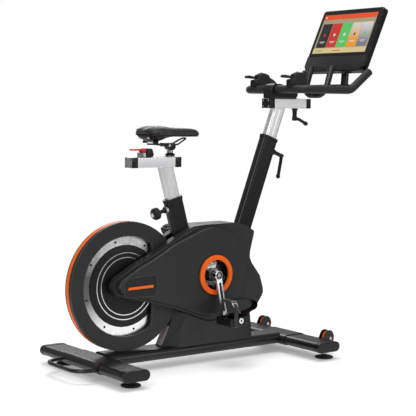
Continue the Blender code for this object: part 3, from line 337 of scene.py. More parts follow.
def lit(look, shade, colour, strength):
    """The common surface of everything that glows: a fine pixel lattice under smooth glass."""
    shade = look.blend(look.between(look.noise(1600.0, 1.0), 0.0, 0.06), shade, tint(colour, 0.8))
    look.set("Base Color", look.blend(0.93, shade, (0.0, 0.0, 0.0)))
    look.set("Emission Color", shade)
    look.set("Emission Strength", strength)
    look.set("Roughness", look.between(look.noise(40.0, 2.0), 0.1, 0.18))
    look.bumps((look.noise(900.0, 1.0), 0.0001, 0.03))
    return look.mat


def display(name, colour, strength=0.9):
    """A lit patch of the display with a slight fall-off."""
    look = Look(name)
    shade = look.blend(look.between(look.noise(6.0, 2.0)), tint(colour, 0.9), colour)
    look.set("Coat Weight", 0.3)
    return lit(look, shade, colour, strength)


# The edge factor of each paint and plastic sets how much lighter its edges are painted: partly wear, partly
# painted highlight.
PAINT = powder_paint("satin_black_paint")
SHELL = moulded("charcoal_shell", (0.0185, 0.0185, 0.019), 0.42, edge=2.6)
SHELL_DARK = moulded("charcoal_dark", (0.009, 0.009, 0.0095), 0.48)
PLASTIC = moulded("black_plastic", (0.0052, 0.0052, 0.0055), 0.36, 1600.0, 0.25, 4.0)
# The display's black bezel has a twelvefold edge factor: a painted highlight along its edges.
GLOSS = moulded("display_black", (0.0034, 0.0034, 0.0036), 0.24, 1600.0, 0.06, 12.0)
ORANGE = glossy_plastic("orange_plastic", (0.97, 0.14, 0.002), 0.42)
RED = glossy_plastic("red_lever", (0.78, 0.03, 0.02), 0.3)
RAIL_METAL = brushed("rail_aluminium", (0.91, 0.915, 0.93), 0.4)
POST_METAL = brushed("post_aluminium", (0.92, 0.925, 0.94), 0.4, (260.0, 260.0, 4.0))
CRANK_METAL = brushed("crank_alloy", (0.62, 0.63, 0.65), 0.16, (200.0, 200.0, 6.0))
CHROME = chrome("chrome")
STEEL = chrome("zinc_steel", (0.52, 0.52, 0.53), 0.28)
# The flywheel band's bright top and bottom and dark sides are painted highlight and painted shade.
BAND = machined("flywheel_band", WHEEL, (0.97, 0.975, 0.985), 0.26, painted_fan_shade=0.16)
HUB_BLACK = machined("hub_black", WHEEL, (0.003, 0.003, 0.0032), 0.42, 0.0, 500.0)
HUB_RING = machined("hub_ring", WHEEL, (0.86, 0.87, 0.89), 0.16)
# Pale grey for small beads: on the cover lines and on the guard's lip and edge it is a painted highlight.
EDGE_GREY = moulded("edge_grey", (0.075, 0.075, 0.077), 0.36)
PULLEY = machined("pulley_alloy", CRANK, (0.3, 0.305, 0.31), 0.34)
RUBBER = soft_rubber("foot_rubber")
BELT = soft_rubber("belt_rubber", ribs="Z")
GRIP = soft_rubber("bar_foam", (0.0085, 0.0085, 0.0088), 0.55)
VINYL = vinyl("saddle_vinyl")
PAN = moulded("saddle_pan", (0.006, 0.006, 0.0063), 0.36)
STRAP = webbing("strap_webbing")
VENT = moulded("vent_grey", (0.26, 0.26, 0.265), 0.5)
GLASS = display("screen_glass", (0.004, 0.004, 0.0045), 0.0)


# Shapes


def finish_mesh(name, bm, mat, slot, soft=35):
    """A mesh in the layout's frame becomes a piece that rides on the body of its CAD node."""
    bmesh.ops.remove_doubles(bm, verts=bm.verts, dist=1e-6)
    bmesh.ops.recalc_face_normals(bm, faces=bm.faces)
    bmesh.ops.translate(bm, verts=bm.verts, vec=-MIDDLE_X * X)
    for face in bm.faces:
        face.smooth = True
    mesh = bpy.data.meshes.new(name)
    bm.to_mesh(mesh)
    bm.free()
    mesh.set_sharp_from_angle(angle=math.radians(soft))
    mesh.materials.append(mat)
    obj = bpy.data.objects.new(name, mesh)
    bpy.context.scene.collection.objects.link(obj)
    body = BODY_OF[slot]
    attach(obj, body)
    return obj


def circle(radius, sides=32, u=0.0, v=0.0):
    turn = 2 * math.pi / sides
    return [(u + radius * math.cos(i * turn), v + radius * math.sin(i * turn)) for i in range(sides)]


def rounded(corners, radii, steps=4):
    """A polygon with each corner turned into an arc."""
    count = len(corners)
    if not isinstance(radii, (list, tuple)):
        radii = [radii] * count
    out = []
    for i in range(count):
        here = Vector(corners[i])
        before = (Vector(corners[i - 1]) - here).normalized()
        after = (Vector(corners[(i + 1) % count]) - here).normalized()
        if radii[i] == 0:
            out.append(tuple(here))
            continue
        half = before.angle(after) / 2
        middle = here + (before + after).normalized() * radii[i] / math.sin(half)
        start = here + before * radii[i] / math.tan(half) - middle
        end = here + after * radii[i] / math.tan(half) - middle
        sweep = start.angle_signed(end)
        for step in range(steps + 1):
            out.append(tuple(middle + Matrix.Rotation(-sweep * step / steps, 2) @ start))
    return out


def round_rect(width, height, radius, u=0.0, v=0.0, steps=5):
    w, h = width / 2, height / 2
    return rounded([(u - w, v - h), (u + w, v - h), (u + w, v + h), (u - w, v + h)], radius, steps)


def slot_shape(width, height, u=0.0, v=0.0, steps=8):
    return round_rect(width, height, min(width, height) / 2 - 1e-5, u, v, steps)


def inset(outline, distance):
    """The outline moved inwards by a distance (outlines run anticlockwise)."""
    count = len(outline)
    out = []
    for i in range(count):
        here = Vector(outline[i])
        back = (here - Vector(outline[i - 1])).normalized()
        ahead = (Vector(outline[(i + 1) % count]) - here).normalized()
        normal_a = Vector((-back.y, back.x))
        normal_b = Vector((-ahead.y, ahead.x))
        middle = (normal_a + normal_b).normalized()
        out.append(tuple(here + middle * distance / max(0.3, middle.dot(normal_a))))
    return out


def arc(radius, start, end, steps, u=0.0, v=0.0):
    out = []
    for i in range(steps + 1):
        angle = math.radians(start + (end - start) * i / steps)
        out.append((u + radius * math.cos(angle), v + radius * math.sin(angle)))
    return out


def frame_of(base, across, up):
    across = Vector(across).normalized()
    up = Vector(up).normalized()
    turn = Matrix((across, up, across.cross(up))).transposed().to_4x4()
    return Matrix.Translation(Vector(base)) @ turn


def curve_mesh(curve, place):
    holder = bpy.data.objects.new("holder", curve)
    bpy.context.scene.collection.objects.link(holder)
    graph = bpy.context.evaluated_depsgraph_get()
    graph.update()
    made = bpy.data.meshes.new_from_object(holder.evaluated_get(graph))
    bpy.data.objects.remove(holder)
    bm = bmesh.new()
    bm.from_mesh(made)
    bpy.data.meshes.remove(made)
    bmesh.ops.transform(bm, matrix=place, verts=bm.verts)
    return bm


def prism(name, mat, slot, outline, base, across, up, length, edge=0.0, holes=(), steps=2):
    """A flat outline pushed by length along across x up, with rounded edges."""
    curve = bpy.data.curves.new(name, "CURVE")
    curve.dimensions = "2D"
    curve.fill_mode = "BOTH"
    curve.extrude = length / 2 - edge
    curve.bevel_depth = edge
    curve.bevel_resolution = steps
    curve.offset = -edge
    for line in (outline, *holes):
        spline = curve.splines.new("POLY")
        spline.points.add(len(line) - 1)
        spline.use_cyclic_u = True
        for point, (u, v) in zip(spline.points, line):
            point.co = (u, v, 0, 1)
    place = frame_of(base, across, up) @ Matrix.Translation((0, 0, length / 2))
    return finish_mesh(name, curve_mesh(curve, place), mat, slot)


def rod(name, mat, slot, path, radius, sides=6, loop=False):
    """A round bar along a line of points."""
    curve = bpy.data.curves.new(name, "CURVE")
    curve.dimensions = "3D"
    curve.bevel_depth = radius
    curve.bevel_resolution = sides
    curve.use_fill_caps = True
    spline = curve.splines.new("POLY")
    spline.use_cyclic_u = loop
    spline.points.add(len(path) - 1)
    for point, place in zip(spline.points, path):
        point.co = (*place, 1)
    return finish_mesh(name, curve_mesh(curve, Matrix.Identity(4)), mat, slot, 50)


def bend(corners, radius, steps=12):
    """An open line in space with its inner corners rounded."""
    out = [Vector(corners[0])]
    for i in range(1, len(corners) - 1):
        here = Vector(corners[i])
        before = (Vector(corners[i - 1]) - here).normalized()
        after = (Vector(corners[i + 1]) - here).normalized()
        half = before.angle(after) / 2
        middle = here + (before + after).normalized() * radius / math.sin(half)
        start = here + before * radius / math.tan(half) - middle
        sweep = math.pi - 2 * half
        axis = start.cross(here + after * radius / math.tan(half) - middle)
        for step in range(steps + 1):
            out.append(middle + Matrix.Rotation(sweep * step / steps, 3, axis) @ start)
    out.append(Vector(corners[-1]))
    return out


def turned(name, mat, slot, profile, centre, along, sides=64):
    """A profile of (radius, distance along) turned round an axis."""
    along = Vector(along).normalized()
    side = along.orthogonal().normalized()
    place = frame_of(centre, side, along.cross(side))
    bm = bmesh.new()
    closed = profile[0][0] > 0
    rings = []
    for radius, far in profile:
        if radius < 1e-6:
            rings.append([bm.verts.new((0, 0, far))])
        else:
            rings.append([bm.verts.new((u, v, far)) for u, v in circle(radius, sides)])
    pairs = list(zip(rings, rings[1:]))
    if closed:
        pairs.append((rings[-1], rings[0]))
    for one, two in pairs:
        for i in range(sides):
            j = (i + 1) % sides
            corners = [one[i % len(one)], one[j % len(one)], two[j % len(two)], two[i % len(two)]]
            face = list(dict.fromkeys(corners))
            if len(face) > 2:
                bm.faces.new(face)
    bmesh.ops.transform(bm, matrix=place, verts=bm.verts)
    return finish_mesh(name, bm, mat, slot, 30)


def loft_mesh(sections, caps=True):
    bm = bmesh.new()
    rings = [[bm.verts.new(point) for point in section] for section in sections]
    for one, two in zip(rings, rings[1:]):
        for i in range(len(one)):
            j = (i + 1) % len(one)
            bm.faces.new((one[i], one[j], two[j], two[i]))
    if caps:
        bm.faces.new(rings[0])
        bm.faces.new(rings[-1])
    return bm


def loft(name, mat, slot, sections, soft=50):
    return finish_mesh(name, loft_mesh(sections), mat, slot, soft)


def rounded_box(name, mat, slot, low, high, edge=0.001, place=None):
    bm = bmesh.new()
    low, high = Vector(low), Vector(high)
    fit = Matrix.Translation((low + high) / 2) @ Matrix.Diagonal((*(high - low), 1))
    bmesh.ops.create_cube(bm, size=1, matrix=fit)
    bmesh.ops.bevel(bm, geom=bm.edges, offset=edge, segments=3, profile=0.5, affect="EDGES")
    if place:
        bmesh.ops.transform(bm, matrix=place, verts=bm.verts)
    return finish_mesh(name, bm, mat, slot)


def ribbon(name, mat, slot, path, normals, width, thick, crown=0.0):
    """A flat strap along a path: its width runs across the path and its thickness along the normals."""
    sections = []
    count = len(path)
    for i, (here, out) in enumerate(zip(path, normals)):
        ahead = (path[min(i + 1, count - 1)] - path[max(i - 1, 0)]).normalized()
        side = ahead.cross(out).normalized()
        section = []
        for u, v in round_rect(width, thick, thick * 0.45, steps=2):
            lift = crown * (1 - (2 * u / width) ** 2)
            section.append(here + side * u + out * (v + lift))
        sections.append(section)
    return loft(name, mat, slot, sections)


def tube_frame(tilt):
    forward = Vector((math.cos(tilt), 0, math.sin(tilt)))
    return forward, forward.cross(Y)


# Finishes and edges of the CAD nodes


def dress(name, mat, edge=0.0, steps=2, soft=32):
    """Gives a CAD node its finish, smooth curves and rounded edges."""
    obj = NODES[name]
    mesh = obj.data
    for label in ("custom_normal", "sharp_edge", "sharp_face"):
        if label in mesh.attributes:
            mesh.attributes.remove(mesh.attributes[label])
    for polygon in mesh.polygons:
        polygon.use_smooth = True
    mesh.materials.clear()
    mesh.materials.append(mat)
    weld = obj.modifiers.new("weld", "WELD")
    weld.merge_threshold = 0.00002
    flat = obj.modifiers.new("flat", "DECIMATE")
    flat.decimate_type = "DISSOLVE"
    flat.angle_limit = math.radians(0.6)
    if edge:
        bevel = obj.modifiers.new("edge", "BEVEL")
        bevel.limit_method = "ANGLE"
        bevel.angle_limit = math.radians(soft)
        bevel.width = edge
        bevel.segments = steps
        bevel.use_clamp_overlap = True
        bevel.miter_outer = "MITER_ARC"
        normals = obj.modifiers.new("normals", "WEIGHTED_NORMAL")
        normals.keep_sharp = True
        normals.weight = 80
    split = obj.modifiers.new("split", "EDGE_SPLIT")
    split.split_angle = math.radians(soft if not edge else 50)
    split.use_edge_sharp = False
    return obj


def both(stem):
    return f"{stem}_left", f"{stem}_right"


# A finish, the rounding of the edges, and the nodes that have them.
FINISHES = (
    (PAINT, 0.0012, "handlebar_mount"),
    (PAINT, 0.001, "main_beam", "console_arm", "saddle_clamp"),
    (PAINT, 0.0008, "drive_bracket"),
    (PAINT, 0.0006, "lift_handle", "seat_tube", "mast"),
    (PAINT, 0.0005, "rear_stabiliser", "front_stabiliser"),
    (PAINT, 0, "aero_hoop", "saddle_rails"),
    (SHELL, 0.0022, *both("wheel_guard")),
    (SHELL, 0.0016, *both("drive_cover")),
    (SHELL, 0.0014, "base_cover"),
    (GLOSS, 0.0016, "console_housing"),
    (PLASTIC, 0.0012, "seat_bushing", "mast_bushing", *both("control_pod")),
    (PLASTIC, 0.001, "pop_pin", "mast_lever", "bar_lever", *both("pedal"), *both("control_paddle")),
    (PLASTIC, 0.0008, *both("rear_cap"), *both("front_cap")),
    (ORANGE, 0.0012, *both("transport_wheel")),
    (ORANGE, 0.001, "crank_ring"),
    (ORANGE, 0.0007, "guard_rim"),
    (RAIL_METAL, 0.0006, "seat_rail", "handlebar_rail"),
    (POST_METAL, 0.0002, "seat_post", "handlebar_post"),
    (CRANK_METAL, 0.0014, *both("crank_arm")),
    (STEEL, 0.001, "saddle_stem"),
    (STEEL, 0.0005, "flywheel_axle"),
    (STEEL, 0.0004, "crank_axle"),
    (BAND, 0.0008, "flywheel"),
    (HUB_BLACK, 0.0008, "flywheel_hub"),
    (PULLEY, 0.0008, "drive_pulley"),
    (RUBBER, 0.0008, *both("rear_foot"), *both("front_foot")),
    (BELT, 0.0004, "drive_belt"),
    (RED, 0.0012, "seat_lever"),
    (GRIP, 0, "handlebar"),
    (GLASS, 0.0006, "screen"),
)


def dress_all():
    for mat, edge, *names in FINISHES:
        for name in names:
            dress(name, mat, edge)
    for pod in both("control_pod"):
        soften(NODES[pod], 0.0019, 9)
    for paddle in both("control_paddle"):
        soften(NODES[paddle], 0.0011, 8)


def voxels(obj, size):
    grid = obj.modifiers.new("voxel", "REMESH")
    grid.mode = "VOXEL"
    grid.voxel_size = size
    grid.use_smooth_shade = True


def relax(obj, factor, rounds):
    smooth = obj.modifiers.new("relax", "SMOOTH")
    smooth.factor = factor
    smooth.iterations = rounds


def subdivide(obj, name="fine"):
    fine = obj.modifiers.new(name, "SUBSURF")
    fine.levels = fine.render_levels = 1


def soften(obj, size, rounds):
    """Melts a block-shaped node into an organic moulding."""
    obj.modifiers.clear()
    voxels(obj, size)
    relax(obj, 0.6, rounds)


# Base


def base_details():
    """Slot and plate of the main beam, nuts of the feet, bolts and treads of the transport wheels."""
    slit = slot_shape(0.15, 0.0026)
    prism("sleeve_slot", SHELL_DARK, "main_beam", slit, (-0.025, 0.0075, 0.0735), Y, -X, 0.0006, 0.0002)
    bracket = [(-0.062, 0.0), (0.0, 0.0), (0.004, 0.003), (0.0, 0.006), (-0.062, 0.006)]
    prism("sleeve_plate", CHROME, "main_beam", bracket, (0.05, -0.1305, 0.03), X, Z, 0.003, 0.0006)
    nut = [(0.0096, 0.0186), (0.015, 0.0186), (0.016, 0.0196)]
    nut += [(0.016, 0.0236), (0.015, 0.0246), (0.0096, 0.0246)]
    for end, x, feet in (("rear", 0.02, 0.235), ("front", 0.955, 0.25)):
        for hand, side in SIDES:
            at = Vector((x, side * feet, 0))
            turned(f"{end}_nut_{hand}", STEEL, f"{end}_foot_{hand}", nut, at, Z, 6)
    for hand, side in SIDES:
        at = Vector((1.0175, side * 0.2045, 0.07))
        for outer, face in (("outer", 1), ("inner", -1)):
            head = [(0, 0.018), (0.004, 0.018), (0.0062, 0.0172), (0.0068, 0.0152), (0, 0.0152)]
            turned(f"ear_bolt_{outer}_{hand}", STEEL, "front_stabiliser", head, at, face * Y, 24)
        rib = [(0.0286, -0.0045), (0.0291, -0.003), (0.0291, 0.003), (0.0286, 0.0045)]
        turned(f"wheel_tread_{hand}", ORANGE, f"transport_wheel_{hand}", rib, at, Y, 48)


def vent_plate():
    """Ribbed pale plate on the slanted rear face of the base cover."""
    low, high = Vector((0.3038, 0, 0.084)), Vector((0.3397, 0, 0.158))
    up = (high - low).normalized()
    out = up.cross(Y)
    outline = round_rect(0.04, (high - low).length, 0.003)
    middle = (low + high) / 2
    prism("base_vent", VENT, "base_cover", outline, middle + out * 0.0022, Y, up, 0.0024, 0.0006)
    for i in range(9):
        at = middle + up * (-0.032 + 0.008 * i) + out * 0.0022
        line = [at - 0.0165 * Y, at + 0.0165 * Y]
        rod(f"vent_rib_{i}", VENT, "base_cover", line, 0.0013, 3)


# Covers


UPPER_LINE = [
    (0.452, 0.544), (0.429, 0.5385), (0.336, 0.4955), (0.226, 0.44), (0.158, 0.4105), (0.082, 0.369),
]
LOWER_LINE = [(0.082, 0.309), (0.228, 0.2705), (0.346, 0.2375), (0.47, 0.1905)]


def cover_details():
    """Raised border lines, the panel near the nose with its orange bar, and a lip round the crank."""
    for hand, side in SIDES:
        for label, corners in (("upper", UPPER_LINE), ("lower", LOWER_LINE)):
            # The raised border lines are pale grey: a painted highlight along the moulded steps.
            path = bend([(x, side * (COVER_Y + 0.0004), z) for x, z in corners], 0.012, 5)
            rod(f"cover_line_{label}_{hand}", EDGE_GREY, f"drive_cover_{hand}", path, 0.001, 3)
    cover = "drive_cover_right"
    panel = [(0.094, 0.2985), (0.238, 0.2935), (0.247, 0.3365)]
    panel += [(0.238, 0.379), (0.112, 0.3705), (0.094, 0.356)]
    panel = rounded(panel, [0.01, 0.014, 0.02, 0.014, 0.01, 0.01], 4)
    border, inner = inset(panel, 0.001), inset(panel, 0.0012)
    bar = [(0.108, 0.3265), (0.226, 0.3285), (0.226, 0.339), (0.114, 0.336)]
    bar = rounded(bar, [0.001, 0.003, 0.003, 0.004], 3)
    prism("badge_frame", EDGE_GREY, cover, panel, (0, 0.0002 - PANEL_Y, 0), X, Z, 0.001, 0.0003, [border])
    prism("badge_panel", SHELL_DARK, cover, inner, (0, 0.0003 - PANEL_Y, 0), X, Z, 0.0006)
    prism("badge_bar", ORANGE, cover, bar, (0, -0.0002 - PANEL_Y, 0), X, Z, 0.0014, 0.0004)
    lip = [(0.08, 0.0004), (0.0835, 0.0004), (0.0835, 0.0012), (0.08, 0.0022)]
    turned("cover_lip", SHELL_DARK, cover, lip, CRANK - PANEL_Y * Y, -Y, 72)


def guard_details():
    """A rounded lip round each window and a fine edge round each plate, both pale grey as a painted
    highlight on their bevels.
    """
    for hand, side in SIDES:
        radius = 0.196
        angle = math.degrees(math.acos((0.2585 - WHEEL.x) / radius))
        ring = arc(radius, angle, 360 - angle, 60, WHEEL.x, WHEEL.z)
        ring = rounded(ring, [0.03] + [0] * (len(ring) - 2) + [0.03], 6)
        path = [Vector((x, side * 0.02, z)) for x, z in ring]
        # Pale grey lip: painted highlight on the window's chamfer.
        rod(f"guard_lip_{hand}", EDGE_GREY, f"wheel_guard_{hand}", path, 0.0007, 3, True)
        outer = [Vector((x, side * 0.0199, z)) for x, z in circle(GUARD_R - 0.0012, 96, WHEEL.x, WHEEL.z)]
        # Pale grey edge: painted highlight on the plate's outer chamfer.
        rod(f"guard_edge_{hand}", EDGE_GREY, f"wheel_guard_{hand}", outer, 0.0009, 3, True)


# Flywheel and drive


OUTER_RING = 0.1295
INNER_RING = 0.1115


def thin_ring(radius, low, high):
    """Profile of a flat ring 4 mm wide."""
    return [(radius - 0.002, low), (radius + 0.002, low), (radius + 0.0016, high), (radius - 0.0016, high)]


def flywheel_details():
    """Silver rings on the hub, screws in the band, the plate behind the wheel and the cap on its axle."""
    for label, radius, low in (("outer", OUTER_RING, 0.0084), ("inner", INNER_RING, 0.0099)):
        ring = thin_ring(radius, low, low + 0.0015)
        turned(f"hub_ring_{label}", HUB_RING, "flywheel_hub", ring, WHEEL, -Y, 96)
    for i in range(8):
        angle = math.radians(45 * i + 14)
        at = WHEEL + 0.176 * Vector((math.cos(angle), 0, math.sin(angle)))
        head = [(0, 0.0044), (0.0032, 0.0044), (0.0042, 0.0036), (0.0042, 0.0018), (0, 0.0018)]
        turned(f"band_screw_{i}", SHELL_DARK, "flywheel", head, at, -Y, 20)
    back = [(0.012, 0.0098), (0.159, 0.0098), (0.159, 0.0108), (0.156, 0.0113), (0.012, 0.0113)]
    turned("wheel_back_plate", HUB_BLACK, "flywheel", back, WHEEL, Y, 96)
    for label, radius in (("outer", OUTER_RING), ("inner", INNER_RING)):
        turned(f"back_ring_{label}", HUB_RING, "flywheel", thin_ring(radius, 0.011, 0.0117), WHEEL, Y, 96)
    cap = [(0, 0.015), (0.012, 0.0146), (0.016, 0.0134), (0.017, 0.012), (0, 0.012)]
    turned("hub_cap", STEEL, "flywheel_hub", cap, WHEEL, -Y, 40)


def along_crank(side):
    lean = Vector((math.sin(CRANK_LEAN), 0, -math.cos(CRANK_LEAN)))
    return -side * lean


def crank_details():
    """Bolt in the crank's boss, a dark strip along the arm painted as the shade of a groove, and the
    pulley's silver carrier and bolts.
    """
    # Distance along the arm, distance out and width.
    groove = [(0.03, 0.1025, 0.008), (0.06, 0.1077, 0.011)]
    groove += [(0.11, 0.1164, 0.0105), (0.142, 0.122, 0.008)]
    for hand, side in SIDES:
        bolt = [(0, 0.103), (0.006, 0.103), (0.0072, 0.1018), (0.0072, 0.1002), (0, 0.1002)]
        turned(f"crank_bolt_{hand}", STEEL, f"crank_arm_{hand}", bolt, CRANK, side * Y, 24)
        ring = [(0.0082, 0.1006), (0.0132, 0.1006), (0.0126, 0.1014), (0.0088, 0.1014)]
        turned(f"crank_washer_{hand}", SHELL_DARK, f"crank_arm_{hand}", ring, CRANK, side * Y, 32)
        along = along_crank(side)
        across = along.cross(Y)
        sections = []
        for far, y, wide in groove:
            at = CRANK + along * far + side * y * Y
            sections.append([at + across * u + Y * v for u, v in round_rect(wide, 0.001, 0.0004, steps=1)])
        # A thin dark sheet on the arm's face, with no recess: painted shade of a groove between the arm's
        # bright faces.
        loft(f"crank_groove_painted_shade_{hand}", SHELL_DARK, f"crank_arm_{hand}", sections)
        end = CRANK + along * CRANK_LENGTH
        eye = [(0.0074, 0.1256), (0.013, 0.1256), (0.0124, 0.1264), (0.008, 0.1264)]
        turned(f"spindle_washer_{hand}", CHROME, f"crank_arm_{hand}", eye, end, side * Y, 32)
    carrier = arc(0.058, 66, 150, 14, CRANK.x, CRANK.z) + arc(0.026, 150, 66, 14, CRANK.x, CRANK.z)
    prism("pulley_carrier", CHROME, "drive_pulley", carrier, (0, -0.0485, 0), X, Z, 0.01, 0.0012)
    for label, angle, radius in (("top", 88, 0.047), ("side", 232, 0.045)):
        turn = math.radians(angle)
        at = CRANK + radius * Vector((math.cos(turn), 0, math.sin(turn)))
        head = [(0, 0.064), (0.0058, 0.064), (0.007, 0.0625), (0.007, 0.0478), (0, 0.0478)]
        turned(f"pulley_bolt_{label}", CHROME, "drive_pulley", head, at, -Y, 6)


def pedal_place(side):
    return CRANK + along_crank(side) * CRANK_LENGTH


def hang(objects, side):
    """The free pedal on the left is turned round its spindle to a fixed angle."""
    if side > 0:
        at = pedal_place(side) - MIDDLE_X * X
        turn = Matrix.Translation(at) @ Matrix.Rotation(FREE_PEDAL, 4, "Y") @ Matrix.Translation(-at)
        for obj in objects:
            obj.data.transform(turn)


def pedal_details():
    """Polished bearing cap, grip teeth along the rear end and two moulded ribs on the outer side."""
    for hand, side in SIDES:
        at = pedal_place(side)
        pedal = f"pedal_{hand}"
        up = -side
        disc = [(0.0034, 0.2282), (0.0104, 0.2282), (0.0112, 0.2287), (0.0108, 0.2297), (0.004, 0.2297)]
        dot = [(0, 0.229), (0.0026, 0.229), (0.0032, 0.2282), (0, 0.2282)]
        made = [turned(f"pedal_disc_{hand}", CHROME, pedal, disc, at, side * Y, 40),
                turned(f"pedal_dot_{hand}", SHELL_DARK, pedal, dot, at, side * Y, 20)]
        for i in range(7):
            y = side * (0.1395 + 0.0125 * i)
            foot, tip = sorted((up * -0.0175, up * 0.0035))
            corner = (at.x - 0.0496, y - 0.0032, at.z + foot)
            other = (at.x - 0.0464, y + 0.0032, at.z + tip)
            made.append(rounded_box(f"tooth_rear_{hand}_{i}", PLASTIC, pedal, corner, other, 0.0009))
        for i, x in enumerate((-0.03, 0.03)):
            low = at + x * X + side * 0.2224 * Y - 0.007 * X + up * (0.002 + 0.0094 * i) * Z
            outline = slot_shape(0.018, 0.0022)
            rib = prism(f"pedal_rib_{hand}_{i}", PLASTIC, pedal, outline, low, -side * X, Z, 0.001, 0.0004)
            made.append(rib)
        hang(made, side)


PEDAL_MIDDLE = 0.1765
STRAP_BACK = 0.023
STRAP_WIDTH = 0.0176
# The clip's middle line, from the pedal's front edge round the toe and back over the shoe.
TOE_LINE = (
    (0.05, 0.004), (0.053, 0.012), (0.06, 0.0195), (0.07, 0.025), (0.084, 0.029),
    (0.0965, 0.0318), (0.105, 0.0375), (0.1092, 0.046), (0.108, 0.056), (0.101, 0.0655),
    (0.088, 0.0725), (0.068, 0.0765), (0.045, 0.0785), (0.02, 0.0792), (0.0, 0.0792), (-0.019, 0.0792),
)


def toe_cage_pieces():
    """Moulded clip, a woven strap round the pedal and the shoe, and a pressed buckle with its tail."""
    last = len(TOE_LINE) - 1
    for hand, side in SIDES:
        at = pedal_place(side)
        slot = f"toe_cage_{hand}"
        middle = side * PEDAL_MIDDLE
        up = -side
        sections = []
        for i, (u, v) in enumerate(TOE_LINE):
            ahead = Vector(TOE_LINE[min(i + 1, last)]) - Vector(TOE_LINE[max(i - 1, 0)])
            ahead.normalize()
            out = Vector((ahead.y, 0, -up * ahead.x))
            share = i / last
            waist = math.sin(math.pi * min(1.0, 1.25 * share)) ** 2
            half = 0.0235 - 0.005 * waist - 0.006 * max(0.0, share - 0.75) / 0.25
            base = Vector((at.x + u, middle, at.z + up * v))
            ring = []
            for k in range(16):
                turn = 2 * math.pi * k / 16
                c, s = math.cos(turn), math.sin(turn)
                across = half * math.copysign(abs(c) ** 0.5, c)
                lift = 0.0017 * math.copysign(abs(s) ** 0.6, s) - 0.0012 * (across / half) ** 2
                ring.append(base + Y * across + out * lift)
            sections.append(ring)
        clip = loft(f"toe_clip_{hand}", PLASTIC, slot, sections)
        subdivide(clip, "smooth")
        wide = 0.048
        ring = [(-wide, -0.025), (wide, -0.025), (wide, 0.05)]
        ring += [(0.026, 0.0775), (-0.026, 0.0775), (-wide, 0.05)]
        ring = rounded(ring, [0.005, 0.005, 0.02, 0.02, 0.02, 0.02], 6)
        path = [Vector((at.x - STRAP_BACK, u + middle, up * v + at.z)) for u, v in ring]
        count = len(path)
        sections = []
        for i, here in enumerate(path):
            ahead = (path[(i + 1) % count] - path[i - 1]).normalized()
            out = Vector((0, ahead.z, -ahead.y))
            section = []
            for u, v in round_rect(STRAP_WIDTH, 0.0022, 0.0009, steps=2):
                section.append(here + X * u + out * (v + 0.0004 * (1 - (2 * u / STRAP_WIDTH) ** 2)))
            sections.append(section)
        bm = loft_mesh(sections + [sections[0]], caps=False)
        strap = finish_mesh(f"toe_strap_{hand}", bm, STRAP, slot, 60)
        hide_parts(slot)
        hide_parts(slot)
        across = Vector((0, -side * 0.022, up * 0.0275)).normalized()
        base = Vector((at.x - STRAP_BACK, middle + side * 0.037, at.z + up * 0.065))
        face = X.cross(across)
        outline = round_rect(0.025, 0.027, 0.003)
        holes = [round_rect(0.015, 0.006, 0.001, 0, v) for v in (-0.0062, 0.0062)]
        left, foot = across.cross(face), base + face * 0.0012
        plate = prism(
            f"strap_buckle_{hand}", CHROME, slot, outline, foot, left, across, 0.0022, 0.0006, holes
        )
        roller = [base + face * 0.0042 - 0.01 * X, base + face * 0.0042 + 0.01 * X]
        bar = rod(f"buckle_roller_{hand}", CHROME, slot, roller, 0.0018, 4)
        drop = ((0.004, 0.01), (0.0046, 0.0), (0.0046, -0.02), (0.006, -0.044))
        tail = [base + face * out + across * along for out, along in drop]
        tongue = ribbon(f"strap_tail_{hand}", STRAP, slot, smooth_path(tail, 2), [face] * 64, 0.013, 0.0018)
        hang([clip, strap, plate, bar, tongue], side)


# Seat


def rail_caps():
    """Black plastic cheeks and end plates at both ends of the rails, open along the slots."""
    rows = (("seat_rail_cap_rear", "seat_rail", SEAT_RAIL_Z, SEAT_RAIL_X[0] - 0.003, 0.185),
            ("seat_rail_cap_front", "seat_rail", SEAT_RAIL_Z, 0.36, SEAT_RAIL_X[1] + 0.003),
            ("bar_rail_cap_rear", "handlebar_rail", BAR_RAIL_Z, BAR_RAIL_X[0] - 0.003, 0.861),
            ("bar_rail_cap_front", "handlebar_rail", BAR_RAIL_Z, 1.034, BAR_RAIL_X[1] + 0.003))
    for name, slot, z, start, end in rows:
        outline = round_rect(0.0512, 0.0412, 0.004, 0, z)
        for hand, side in SIDES:
            cheek = [(0.0195, -0.0202), (0.0256, -0.0202), (0.0256, 0.0202), (0.0195, 0.0202)]
            cheek = rounded(cheek, [0, 0.002, 0.002, 0], 4)
            sheet = [(side * u, z + v) for u, v in cheek[::side]]
            prism(f"{name}_{hand}", PLASTIC, slot, sheet, (start, 0, 0), Y, Z, end - start, 0.0004)
        rear = "rear" in name
        face = start if rear else end
        pale = name == "seat_rail_cap_rear"
        lid, base = inset(outline, 0.0012), (face - (0.0006 if rear else 0.0014), 0, 0)
        prism(f"{name}_lid", VENT if pale else PLASTIC, slot, lid, base, Y, Z, 0.002, 0.0005)
        for i, (y, dz) in enumerate(((-0.017, -0.012), (0.017, -0.012), (-0.017, 0.012), (0.017, 0.012))):
            at = Vector((face, y, z + dz))
            head = [(0, 0.0012), (0.0028, 0.0012), (0.0034, 0.0006), (0.0034, 0.0), (0, 0.0)]
            turned(f"{name}_screw_{i}", SHELL_DARK if pale else STEEL, slot, head, at, -X if rear else X, 20)


